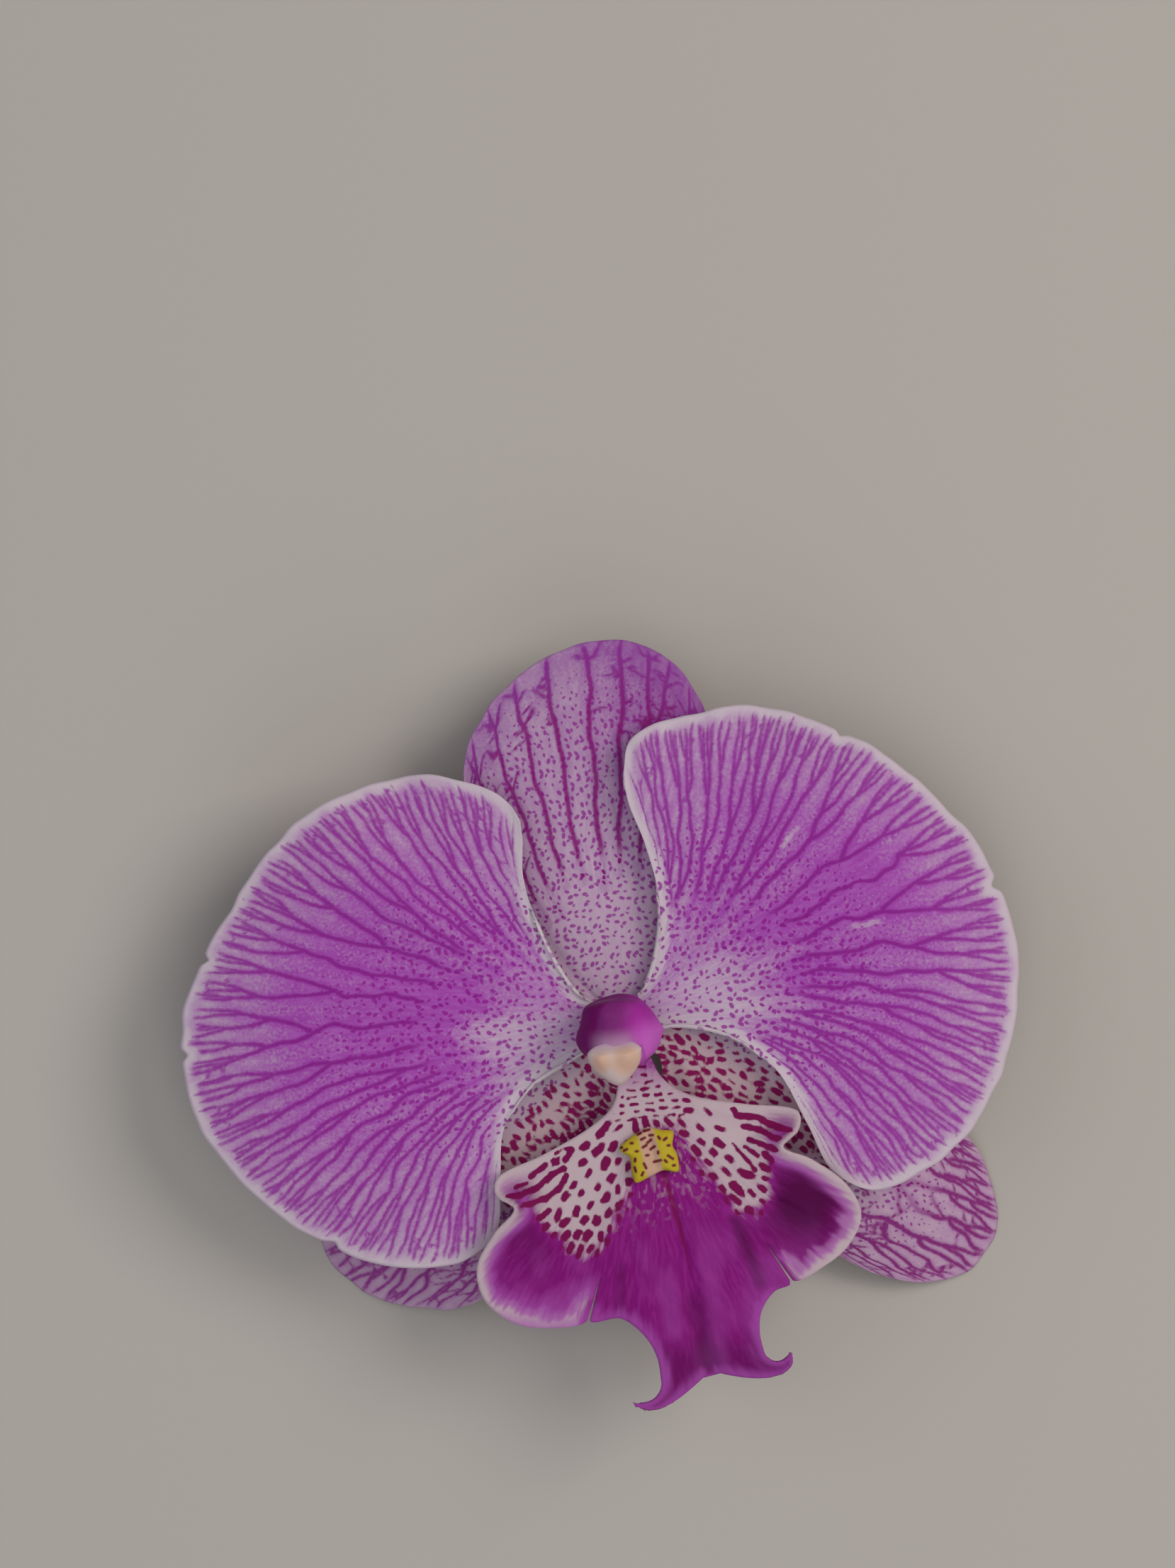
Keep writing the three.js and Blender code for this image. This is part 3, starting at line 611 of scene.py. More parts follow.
netted = smooth(0.5, 0.62, s) * smooth(7, 4, rim) + smooth(0.72, 0.8, s) * smooth(0.52, 0.66, t)
lines = veins(dorsal, 24, 12, 0.34, dorsal_gap, (0.18, 0.25), 300, netted, (0.6, 1.9), sway_mm=0.12,
              end_mm=(0.0, 0.5), rise=(0.4, 1.3))
wash = 0.18 + 0.32 * np.exp(-np.maximum(lines, 0) / 0.5)
# Deeper lilac over the upper half, most toward the upper right: partly the tip's own lilac and partly painted
# shade.
wash = wash + 0.55 * smooth(0.55, 0.85, s) * smooth(0.42, 0.75, t)
wash = wash + 0.2 * smooth(5, 1, rim) * smooth(0.35, 0.7, s) + 0.24 * smooth(0.35, 0.75, s)
finish(sheet_piece("dorsal_sepal_blade", dorsal, sepal_thickness_mm, {
    "vein": lines,
    "tint": wash,
    "dots": smooth(1.02, 0.76, s),
    "held": smooth(0.32, 0.55, s),
    "bold": smooth(1.0, 0.8, s),
    "heading": headings(dorsal) + math.pi / 2 * (s < 0.36),
}, (dorsal_face, sepal_back)), "dorsal_sepal")


def lateral_crown(t, s):
    """A lateral sepal's doming."""
    return 3.2 * np.sin(math.pi * t) * np.sin(math.pi * s) + 0.2 * uneven(31, t * 7, s * 2)


def lateral_gap(t, s):
    """A few long veins that break up near the tip."""
    return 3.2 - 1.5 * smooth(0.72, 0.9, s) + 1.8 * math.exp(-((t - 0.5) / 0.2) ** 2) * smooth(0.95, 0.8, s)


def make_lateral(name, node, outline, heading, white_to, seed, vein_mm, boldness):
    """One lateral sepal: which way its blotches lie, where its plain white strip ends, and its veins."""
    sheet = blade(outline, (4, 12), lateral_crown, 220, 124, seed=seed)
    s, t, rim = sheet["s"], sheet["t"], sheet["rim"]
    inner = smooth(0.6, 0.48, s)
    blotched = (s > 0.05) & (s < 0.6) & (t > white_to)
    lying = heading + 1.0 * uneven(seed, t * 20, s * 20)
    netted = smooth(0.5, 0.66, s) * (0.3 + 0.7 * smooth(0.08, 0.25, abs(t - 0.5)))
    bulk = 0.28 + 0.1 * uneven(seed + 4, t * 12, s * 12) + 0.08 * smooth(white_to, white_to + 0.3, t)
    lines = veins(sheet, seed, 9, 0.5, lateral_gap, vein_mm, 260, netted, (0.8, 2.6), sway_mm=0.42,
                  open_mm=1.4, end_mm=(0.0, 0.5), rise=(0.4, 1.3))
    values = {
        "vein": lines,
        "spot": spots(sheet["points"][..., :2], seed, blotched, sheet["along"], 0.8, lying, 2.1, bulk, 0.22),
        "tint": 0.06 + (0.32 + 0.4 * np.exp(-np.maximum(lines, 0) / 0.45)) * smooth(0.56, 0.75, s),
        "dots": smooth(0.98, 0.7, s) * (1 - 0.95 * inner * smooth(white_to - 0.02, white_to + 0.02, t)),
        "held": smooth(0.5, 0.66, s) * (1 - 0.6 * np.exp(-((t - 0.5) / 0.12) ** 2) * smooth(0.95, 0.8, s)),
        "bold": smooth(0.5, 0.8, s) * boldness,
        "warm": inner * smooth(0.02, 0.1, s) * smooth(white_to, white_to + 0.1, t) * 0.6,
        "heading": headings(sheet),
    }
    piece = sheet_piece(name, sheet, sepal_thickness_mm, values, (lateral_face, sepal_back))
    finish(piece, node)


make_lateral("lateral_sepal_left_blade", "lateral_sepal_left", [
    (-2.7, 0.9, -0.6), (-8.5, -2.6, -0.6), (-16.0, -6.2, -1.4), (-24.0, -10.6, -3.4), (-31.5, -15.4, -7.0),
    (-36.8, -20.0, -10.6), (-38.6, -23.6, -12.2), (-37.6, -26.6, -12.3), (-35.2, -29.4, -12.2),
    (-31.4, -31.5, -11.4), (-26.8, -32.8, -9.8), (-21.8, -32.8, -8.2), (-15.6, -29.6, -6.4),
    (-10.0, -24.0, -4.8), (-5.0, -17.0, -3.4), (-2.2, -11.5, -2.4), (-1.0, -7.4, -1.6), (-0.7, -2.7, -0.6),
], math.radians(-50), 0.42, 31, (0.13, 0.22), 0.45)

make_lateral("lateral_sepal_right_blade", "lateral_sepal_right", [
    (2.9, 0.9, -0.6), (9.0, -0.5, -0.6), (16.5, -4.0, -1.2), (25.0, -8.4, -3.0), (33.5, -13.2, -6.4),
    (39.4, -17.6, -9.8), (42.2, -22.0, -11.6), (43.2, -27.0, -12.2), (42.4, -31.8, -12.3),
    (39.6, -35.2, -12.1), (35.0, -36.2, -11.2), (29.6, -35.2, -9.8), (23.4, -31.6, -8.0),
    (16.6, -26.0, -6.2), (10.6, -19.8, -4.6), (6.6, -13.6, -3.2), (4.5, -8.6, -2.2), (4.2, -5.0, -1.4),
    (0.9, -2.7, -0.6),
], math.radians(-24), 0.32, 32, (0.17, 0.27), 1.0)


# Lip
# The third petal, a fleshy shield on a narrow neck. Its wings turn up at their margins, a slit parts
# each from the middle lobe, and the end is drawn out in two prongs that curl outward and up.
lip_thickness_mm = 0.85
neck_mm = (1.4, -4.5)
keel_lean = 0.13
throat_mm = (1.8, -9.3)
notch_x_mm = 6.3
slit_rib = 14  # the rib that ends at the inner ends of the two slits
prong_curls = ((-1.8, -42.9, 2.6, 1), (14.7, -40.6, 2.0, -1))
lip_ribs = [
    (-4.8, (-0.5, -4.9, 0), (3.2, -4.7, 0)),
    (-6.2, (-1.0, -7.6, 0), (4.0, -6.8, 0)),
    (-7.4, (-1.9, -10.0, 0), (5.6, -8.6, 0)),
    (-8.5, (-4.6, -12.1, 0), (8.6, -10.1, 0)),
    (-9.6, (-10.5, -14.8, 0.3), (13.8, -11.4, 0.4)),
    (-10.2, (-16.4, -17.1, 1.0), (19.9, -12.9, 1.2)),
    (-10.3, (-16.7, -19.0, 1.8), (19.7, -14.9, 1.9)),
    (-10.4, (-14.7, -20.8, 2.0), (17.6, -16.8, 2.2)),
    (-10.5, (-17.5, -23.6, 1.4), (20.9, -18.7, 1.6)),
    (-10.65, (-19.9, -27.4, 0.9), (24.8, -22.2, 1.2)),
    (-10.8, (-19.4, -31.3, 0.8), (26.1, -25.8, 1.0)),
    (-11.0, (-16.1, -34.4, 0.8), (24.3, -29.2, 0.9)),
    (-11.3, (-11.4, -35.4, 0.5), (21.3, -31.3, 0.6)),
    (-11.6, (-7.5, -34.9, 0.2), (17.2, -32.75, 0.3)),
    (-11.95, (-5.3, -29.5, 0), (14.3, -27.6, 0)),
    (-12.5, (-7.25, -35.0, -0.2), (17.0, -32.95, -0.2)),
    (-14.2, (-3.5, -35.1, 0), (14.9, -33.8, 0)),
    (-18.5, (-0.9, -37.5, 0.2), (13.2, -35.8, 0.2)),
    (-24.0, (0.3, -40.2, 0.3), (12.6, -38.4, 0.4)),
    (-30.0, (0.5, -43.2, 0.3), (12.9, -41.2, 0.6)),
    (-34.5, (0.6, -46.4, 0.5), (13.2, -43.8, 0.9)),
    (-37.5, (0.8, -49.8, 1.6), (13.4, -46.9, 1.8)),
    (-39.3, (1.2, -47.7, 0.6), (12.7, -45.3, 0.8)),
    (-40.6, (2.2, -46.1, 0.2), (11.1, -44.5, 0.2)),
    (-41.7, (3.8, -44.4, 0), (8.9, -43.5, 0)),
    (-42.6, (5.4, -43.1, 0), (7.2, -42.8, 0)),
]
# Lip tissue: saturated magenta with a fibrous edge toward the white, which has crisp maroon spots.
lip_face = tissue("lip skin", "c9b5be", "87127a", "9c2c93", ("7c0e48", "740c40"), "8a2470",
                  shade="560648", warm="b055b6", spot="7c1052",
                  bare=0.75, mottling=0.06, fan_mm=throat_mm, feathering=5.0)
# The lip from below: the same marks, faded.
lip_back = tissue("lip reverse", "ccb0ba", "a65aa4", "b27cb2", ("90408c", "84307e"), "b070ac",
                  warm="b486bd", bare=0.4)


def keel_x(y):
    """Where the keel runs at a height on the lip."""
    return neck_mm[0] + (neck_mm[1] - y) * keel_lean


def lip_height(x, y):
    """The lip rises from its neck to a nearly level shield with drooping wings and a grooved keel."""
    down = neck_mm[1] - y
    rise = 3.4 * (1 - np.exp(-down / 9)) - 0.0012 * np.maximum(down - 23, 0) ** 2
    aside = x - keel_x(y)
    groove = 0.45 * np.exp(-((aside / 1.3) ** 2)) * smooth(14, 24, down)
    return 3.0 + rise - 0.0034 * aside ** 2 - groove


def beside(polygon, x, y):
    """Distance in millimetres from a closed outline, above nothing inside it."""
    inside = np.zeros(x.shape, bool)
    distance = np.full(x.shape, 99.0)
    for (ax, ay), (bx, by) in zip(polygon, polygon[1:] + polygon[:1]):
        crosses = (ay > y) != (by > y)
        inside ^= crosses & (x < ax + (bx - ax) * (y - ay) / (by - ay if by != ay else 1))
        distance = np.minimum(distance, beyond((ax, ay), (bx, by), x, y))
    return np.where(inside, distance, -distance)


def dashes(seed, x, y, row_mm, pitch_mm, half_mm):
    """Distance to the side of the nearest of some short dashes that lie in rows across the lip."""
    chance = np.random.default_rng(seed).uniform(-1, 1, (lattice_cells, lattice_cells, 4))
    row = np.round(y / row_mm).astype(int)
    shifted = x / pitch_mm + chance[row % lattice_cells, 0, 0]
    cell = np.floor(shifted).astype(int)
    dice = chance[row % lattice_cells, cell % lattice_cells].T
    along = (shifted - cell - 0.5 + 0.08 * dice[0]) * pitch_mm
    across = y - (row + 0.12 * dice[1]) * row_mm + along * 0.22 * dice[2]
    return np.hypot(np.maximum(abs(along) - pitch_mm * (0.21 + 0.12 * dice[3]), 0), across) - half_mm


# The margin runs smoothly through the ribs' ends, but straight along the slits, and its lift is uneven.
places = evenly([[rib[k] for rib in lip_ribs] for k in (1, 2)], (0, len(lip_ribs) - 1), 700)
sides = []
for k in (1, 2):
    ribs = [rib[k] for rib in lip_ribs]
    straight = np.stack([np.interp(places, range(len(ribs)), axis) for axis in zip(*ribs)], axis=1)
    sides.append(np.where((abs(places - slit_rib) < 1)[:, None], straight, spline(ribs, places)))
margin = np.vstack([sides[0], sides[1][::-1]])
in_margin = np.concatenate([places, places[::-1]])
on_right = margin[:, 0] > 3
crinkle = 0.3 * uneven(41, in_margin * 1.7, on_right) + 0.15 * uneven(42, in_margin * 5, on_right)
wing_lift = margin[:, 2] + crinkle * smooth(4.4, 5.0, in_margin) * smooth(13.4, 12.6, in_margin)

# The net of faces is a fine grid cut off at the margin, with its border moved onto it.
cell_mm = 0.19
low, high = margin.min(0) - 0.5, margin.max(0) + 0.5
cells = np.ceil((high - low)[:2] / cell_mm).astype(int)
net = bmesh.new()
bmesh.ops.create_grid(net, x_segments=cells[0], y_segments=cells[1], size=1.0)
x, y = ((np.array([v.co for v in net.verts])[:, :2] + 1) / 2 * cells * cell_mm + low[:2]).T
kept = beside(margin[::3, :2].tolist(), x, y) > 0.03
for vert, place in zip(net.verts, np.stack([x, y, 0 * x], axis=1)):
    vert.co = place
bmesh.ops.delete(net, geom=[v for v, keep in zip(net.verts, kept) if not keep], context="VERTS")
bmesh.ops.delete(net, geom=[v for v in net.verts if not v.link_faces], context="VERTS")
for vert in net.verts:
    if vert.is_boundary:
        nearest = margin[np.hypot(margin[:, 0] - vert.co.x, margin[:, 1] - vert.co.y).argmin()]
        vert.co = (nearest[0], nearest[1], 0)
bmesh.ops.remove_doubles(net, verts=[v for v in net.verts if v.is_boundary], dist=0.02)
x, y = np.array([v.co for v in net.verts])[:, :2].T

# The surface is lifted toward its margin and softly pleated, and its prongs curl.
to_margin, to_wing = np.full((2, len(x)), 99.0)
for k in range(0, len(margin), 3):
    apart = np.hypot(x - margin[k, 0], y - margin[k, 1])
    to_margin = np.minimum(to_margin, apart)
    if in_margin[k] > 3 and abs(in_margin[k] - slit_rib) > 0.75:
        to_wing = np.minimum(to_wing, apart)
from_keel = abs(x - keel_x(y))
lifted = sum(
    np.exp(-(np.hypot(x - margin[k, 0], y - margin[k, 1]) / 1.6) ** 2)[None] * [[wing_lift[k]], [1]]
    for k in range(0, len(margin), 5))
lifted = lifted[0] / np.maximum(lifted[1], 1e-6)
from_throat = np.hypot(x - throat_mm[0], y - throat_mm[1])
toward = np.arctan2(y - throat_mm[1], x - throat_mm[0])
pleat = 0.13 * uneven(47, toward * 9 + 40, 0) * smooth(6, 14, from_throat)
z = lip_height(x, y) + lifted * (from_keel / (from_keel + to_margin + 1e-6)) ** 5
z = z + pleat * smooth(0, 3, to_margin)
points = np.stack([x, y, z], axis=1)
for centre_x, centre_y, turn, way in prong_curls:
    below = np.maximum(centre_y - y, 0)
    radius = (x - centre_x) * way
    angle = below / np.maximum(radius, turn)
    curled = ((x < notch_x_mm) == (way > 0)) & (below > 0)
    points[:, 0] = np.where(curled, centre_x + way * radius * np.cos(angle), points[:, 0])
    points[:, 1] = np.where(curled, centre_y - radius * np.sin(angle), points[:, 1])

# The white with its spots, and the long stripes in its two upper corners.
white_zone = [
    (-2.0, -5.4), (6.7, -6.3), (7.7, -9.1), (13.6, -10.7), (20.9, -11.5), (20.8, -15.4), (17.0, -16.2),
    (15.9, -19.3), (15.6, -22.2), (14.6, -24.1), (13.1, -24.8), (11.2, -23.4), (9.5, -21.0), (7.8, -18.2),
    (6.0, -15.3), (5.2, -13.9), (2.8, -13.9), (0.8, -17.1), (-0.1, -19.4), (-0.9, -20.3), (-1.9, -22.2),
    (-3.2, -24.7), (-5.6, -27.0), (-7.7, -27.8), (-9.5, -25.9), (-11.0, -24.0), (-12.1, -22.4),
    (-13.0, -20.6), (-14.6, -19.3), (-18.6, -18.7), (-18.3, -16.4), (-9.5, -12.7), (-3.8, -9.9),
]
corner_stripes = [  # half width, then the places that each long stripe passes
    (0.42, ((12.4, -11.7), (12.6, -12.6), (15.1, -13.1), (16.5, -14.1), (19.1, -15.2))),
    (0.38, ((13.4, -14.0), (15.3, -14.7), (16.7, -15.7), (18.2, -16.1))),
    (0.36, ((13.8, -15.6), (15.4, -16.4), (17.2, -17.2))), (0.3, ((13.2, -16.4), (14.6, -17.6))),
    (0.2, ((11.8, -15.9), (13.1, -17.7), (14.2, -19.3))), (0.33, ((15.3, -17.3), (16.3, -18.5))),
    (0.38, ((-9.3, -14.7), (-8.2, -14.2), (-7.3, -14.7), (-8.1, -15.7))),
    (0.34, ((-10.5, -16.1), (-12.4, -17.3))),
    (0.27, ((-12.9, -18.0), (-14.4, -18.4))), (0.36, ((-10.7, -21.5), (-12.0, -22.3))),
    (0.4, ((-8.5, -16.8), (-9.8, -17.3), (-11.7, -18.6), (-13.9, -19.3), (-15.6, -19.4))),
    (0.4, ((-8.2, -17.7), (-9.4, -19.2), (-10.9, -20.0), (-13.3, -20.5), (-14.2, -20.7))),
]
corner_flaps = [
    (-12.5, -10), (-12.5, -22), (-20, -22), (-20, -9), (24, -9), (24, -14.6), (16.5, -14.6), (16.5, -10)]
# How far each point lies from the white, the slits, the wings and the throat, with fibrous streaks.
white = beside(white_zone, x, y)
past_slits = np.maximum(0.42 * (y + 29.5) - 5.3 - x, x - 14.3 + 0.53 * (y + 27.6))
on_wing = smooth(-9.5, -10.5, y) * smooth(-0.4, 0.4, past_slits)
on_neck = smooth(-12.6, -11.6, y) * smooth(5.2, 4.2, abs(x - throat_mm[0]))
streak = uneven(43, toward * 34, from_throat * 0.3) * 0.4 + uneven(44, toward * 86, from_throat * 0.4) * 0.6
low_wing = smooth(0, -8, y + 22.5 - 0.22 * x)
to_frill = to_wing + streak * (0.3 + 0.6 * low_wing)
# The pale frill along the wings, and the magenta with its ragged upper edge and flecks.
frill = smooth(2.0 + 1.2 * low_wing, 0.7 - 0.2 * low_wing, to_frill) * on_wing * smooth(0.1, 1.6, past_slits)
ragged_edge = white + 0.7 * uneven(48, toward * 14, from_throat * 0.7) + 0.5 * streak
fleck = smooth(-0.1, 0.6, uneven(45, toward * 38, from_throat * 1.7)) * smooth(20, 8, from_throat)
haze = np.exp(-(np.hypot(x + 14.0, y + 19.9) / 1.9) ** 2) + np.exp(-(np.hypot(x - 17.8, y + 15.3) / 1.9) ** 2)
haze = haze * smooth(0.1, 0.9, to_margin)
magenta = smooth(1.4, -0.6, ragged_edge)
# Two thin folds down the middle lobe, then the dark patches, and painted shade in the slits' folds.
folds = np.minimum.reduce([
    beyond((3.3, -18.4), (4.5, -24.9), x, y) - 0.26,
    beyond((4.5, -24.9), (5.3, -31.0), x, y) - 0.2 * smooth(-31, -25, y),
])
dark = 1.2 * np.exp(-(np.hypot(x - 19.6, y + 23.6) / 5.2) ** 2)
dark = dark + 0.45 * np.exp(-(np.hypot(x + 13.5, y + 24.5) / 4.0) ** 2)
# Darker prongs, then painted shade in the fold by the right slit, and on the next line by the left one.
dark = dark + 0.5 * smooth(-37, -41, y) + 0.7 * smooth(1.4, 0, beyond((11.2, -24.9), (13.4, -32.5), x, y))
dark = dark + 0.45 * smooth(1.2, 0, beyond((-2.9, -29.0), (-3.6, -34.5), x, y)) + 0.12 * streak
dark = dark + 0.55 * smooth(2.0, 0, beyond((5.2, -33), (6.2, -41), x, y)) * smooth(-31, -35, y)
# Lighter violet: the middle lobe's margin and streaks, a glow inside each wing, and the neck.
violet = 0.65 * smooth(-31, -35, y) * smooth(2.0, 0.1, to_wing + 0.6 * streak)
violet = np.maximum(violet, 0.25 * smooth(-0.2, 0.8, uneven(54, x * 0.4, y * 0.22)) * smooth(-22, -30, y))
inward = 2.6 + low_wing * np.where(x < 6, 3.2, 0.6)
wing_glow = 0.75 * smooth(inward, 1.2, to_frill) * smooth(0.3, 1.6, to_frill)
violet = np.maximum(violet, wing_glow * on_wing * smooth(-14, -18, y - 0.12 * x))
violet = np.maximum(violet, 0.45 * smooth(-9.5, -5.5, y))
# Spots point away from the throat, and lie closer together near the edge of the white.
near_edge = smooth(3.0, 0.8, white)
striped = np.minimum.reduce([
    np.minimum.reduce([beyond(a, b, x, y) for a, b in zip(stripe, stripe[1:])]) - half
    for half, stripe in corner_stripes])
spot_zone = (white > -0.7) & (frill < 0.3) & (on_neck < 0.02) & (striped > 0.75)
spotted = spots(
    np.stack([x, y], axis=1), 46, spot_zone & (beside(corner_flaps, x, y) < 0), from_throat,
    spacing=1.24 - 0.26 * near_edge,
    heading=toward + 0.35 * uneven(51, x * 1.6, y * 1.6),
    stretch=2.0 + 0.7 * uneven(52, x * 1.5, y * 1.5),
    size=0.43 - 0.04 * near_edge + 0.15 * uneven(53, x * 1.4, y * 1.4),
    gap=0.3 + 0.2 * smooth(2.5, 5, white) * smooth(11, 7, from_throat),
    tries=9000)
spotted = np.minimum(np.maximum(spotted, 0.35 - striped), striped)
spotted = np.minimum(spotted, np.where(on_neck > 0.3, dashes(49, x, y, 0.84, 1.6, 0.17), 9))
lip_piece = thin_piece("lip_blade", net, points, to_margin, {
    "vein": folds,
    "spot": spotted + 0.5 * smooth(0.8, 0.2, to_margin) + 0.45 * smooth(0.0, -1.0, white),
    "tint": np.maximum.reduce([
        1.15 * magenta * (1 - frill) * (1 - 0.42 * fleck - 0.1 * smooth(0.3, 0.8, streak)), haze,
        0.16 * smooth(4.5, 0.5, white) * (1 - frill)]),
    # The dark patches, the painted shade of the slit folds, and the corner haze.
    "shade": np.clip(dark, 0, 1) * smooth(0.3, -1.5, white) * (1 - frill) + 0.55 * haze,
    "warm": violet,
}, lip_thickness_mm, (lip_face, lip_back))
finish(lip_piece, "lip")


# Callus
# The raised yellow body on the lip's throat. It grows on the lip: four blunt arms round a cream
# channel, marked with maroon dots and dashes.
def closed_skin(name, surface, sides, rows, skin, values):
    """A ball whose points are placed by a formula from their share round it and their share up it."""
    bm = bmesh.new()
    bmesh.ops.create_uvsphere(bm, u_segments=sides, v_segments=rows, radius=1.0)
    ball = np.array([v.co for v in bm.verts])
    round_it = np.arctan2(ball[:, 1], ball[:, 0]) / (2 * math.pi) % 1
    up_it = 1 - np.arccos(np.clip(ball[:, 2], -1, 1)) / math.pi
    pole = abs(ball[:, 2]) > 1 - 1e-7
    places = surface(round_it, up_it, np.where(pole, 0.0, 1.0))
    for vert, place in zip(bm.verts, (places + bloom_middle_mm) * MM):
        vert.co = place
    bm.normal_update()
    if bm.calc_volume(signed=True) < 0:
        bmesh.ops.reverse_faces(bm, faces=bm.faces)
    return as_object(name, bm, {key: formula(*places.T) for key, formula in values.items()}, [skin])


def fleshy(name, layers, roughness=0.5, mottle=0.12, stretch=(1, 1, 1)):
    """Thick smooth tissue: a first colour with further ones laid over it where their attribute says."""
    material = new_material(name, {
        "Roughness": roughness, "IOR": 1.42, "Specular IOR Level": 0.15,
        "Subsurface Weight": 0.12, "Subsurface Scale": 0.0008})
    tree = material.node_tree
    shader = tree.nodes["Principled BSDF"]
    in_metres = add(tree, "TexCoord", out="Object")
    place = add(tree, "Mapping", {"Vector": in_metres, "Scale": [part / MM for part in stretch]})
    grain = add(tree, "TexNoise", {"Vector": place, "Scale": 1.6, "Detail": 4.0}, "Fac")
    shift = add(tree, "Math", (grain, 0.5), operation="SUBTRACT")
    first, *others = layers.items()
    colour = linear(first[1])
    for key, code in others:
        amount = add(tree, "Attribute", out="Fac", attribute_name=key)
        amount = add(tree, "Math", (shift, mottle, amount), operation="MULTIPLY_ADD")
        amount = add(tree, "MapRange", (amount, 0.0, 1.0))
        colour = add(tree, "Mix", {0: amount, 6: colour, 7: linear(code)}, 2, data_type="RGBA")
    tree.links.new(colour, shader.inputs["Base Color"])
    bump = add(tree, "Bump", {"Height": grain, "Strength": 0.25, "Distance": 0.0001})
    tree.links.new(bump, shader.inputs["Normal"])
    return material


callus_middle_mm = (1.9, -16.1)
callus_seat_mm = 0.35  # how high its lowest ring lies on the lip
callus_arms = [
    (0.1, 3.3), (-1.8, 2.4), (-3.5, 1.0), (-2.4, -0.1), (-2.3, -1.9), (-2.0, -3.1), (-0.5, -2.7),
    (1.4, -2.0), (3.1, -2.3), (3.2, -0.3), (2.8, 0.8), (3.0, 2.4), (1.5, 2.8), (0.1, 3.3),
]
callus_steps = [(0.9, 0), (1, 0.45), (0.95, 0.95), (0.75, 1.3), (0.4, 1.42), (0.02, 1.45)]


def callus_surface(round_it, up_it, open_):
    """Rings in the outline of the four arms, seated on the lip, with the channel pressed in."""
    arm = spline(callus_arms, round_it * (len(callus_arms) - 1))
    scale, height = spline(callus_steps, up_it * (len(callus_steps) - 1)).T
    x = callus_middle_mm[0] + arm[:, 0] * scale * open_
    y = callus_middle_mm[1] + arm[:, 1] * scale * open_
    channel = np.exp(-((x - 2.2 + 0.15 * (y + 16)) / 0.7) ** 2) * smooth(0.3, 0.8, up_it)
    return np.stack([x, y, lip_height(x, y) + callus_seat_mm + height - 0.5 * channel], axis=1)


# Waxy yellow flesh with a cream channel: soft highlights, and marks with blurred sides.
callus_body = fleshy("callus", {"all": "c4b02c", "channel": "cba58f", "spots": "6e1a2c"}, mottle=0.3)
callus_marks = [  # middle, half length and heading of each dash
    (-0.9, -15.2, 0.2, 20), (-1.4, -14.9, 0.1, 0), (0.1, -16.5, 0.15, 80), (0.0, -17.6, 0.25, 100),
    (-0.1, -14.5, 0.1, 0), (4.2, -15.2, 0.1, 0), (4.3, -16.6, 0.35, -40), (4.6, -17.6, 0.1, 0),
    (3.9, -14.4, 0.2, 30), (0.8, -18.2, 0.2, 60), (0.4, -15.5, 0.1, 0), (0.9, -13.5, 0.2, 20),
    (1.8, -13.2, 0.35, 10), (2.3, -13.8, 0.2, 0), (1.3, -14.1, 0.25, 20), (2.0, -14.5, 0.3, 35),
    (1.4, -15.0, 0.25, 25), (2.3, -15.3, 0.3, 30), (1.6, -16.1, 0.12, 0), (2.7, -16.9, 0.4, 10),
    (2.9, -15.9, 0.1, 90), (1.2, -17.3, 0.3, 110), (3.2, -14.2, 0.15, -60), (3.7, -17.0, 0.15, -50),
]


def callus_spots(x, y, z):
    """The maroon dots and dashes."""
    nearest = []
    for a, b, half, heading in callus_marks:
        dx, dy = half * math.cos(math.radians(heading)), half * math.sin(math.radians(heading))
        nearest.append(beyond((a - dx, b - dy), (a + dx, b + dy), x, y))
    return smooth(0.24, 0.1, np.minimum.reduce(nearest))


def callus_channel(x, y, z):
    """The cream strip down the middle."""
    return smooth(1.2, 0.8, abs(x - 2.0 + 0.12 * (y + 16)))


finish(closed_skin("callus_body", callus_surface, 200, 50, callus_body, {
    "channel": callus_channel, "spots": callus_spots}), "callus")


# Column
# The stubby club in the middle that carries the anther: smooth, fleshy and purple. Its steep left flank
# has painted shade and its right side painted light, and the shallow stigma lies in the side toward the lip.
column_hood = [
    (5.2, -1.4), (4.2, 0.5), (2.8, 2.2), (0.0, 2.8), (-3.9, 2.2), (-4.7, 0.2), (-5.4, -1.9), (-4.2, -3.9),
    (0.2, -5.4), (3.7, -4.2), (5.2, -1.4),
]
column_ridge = [
    (2.5, -1.6), (2.0, 0.2), (1.3, 1.9), (-0.2, 2.4), (-1.7, 2.0), (-2.5, 0.4), (-3.0, -1.6), (-3.9, -3.3),
    (-0.5, -6.2), (2.0, -4.6), (2.5, -1.6),
]
column_tip = [
    (1.3, -2.4), (1.0, -1.2), (0.6, -0.2), (-0.4, 0.2), (-1.3, -0.2), (-1.9, -1.2), (-2.4, -2.4),
    (-3.0, -3.6), (-0.6, -5.8), (1.1, -4.4), (1.3, -2.4),
]
column_middle_mm = (-0.7, -3.0)
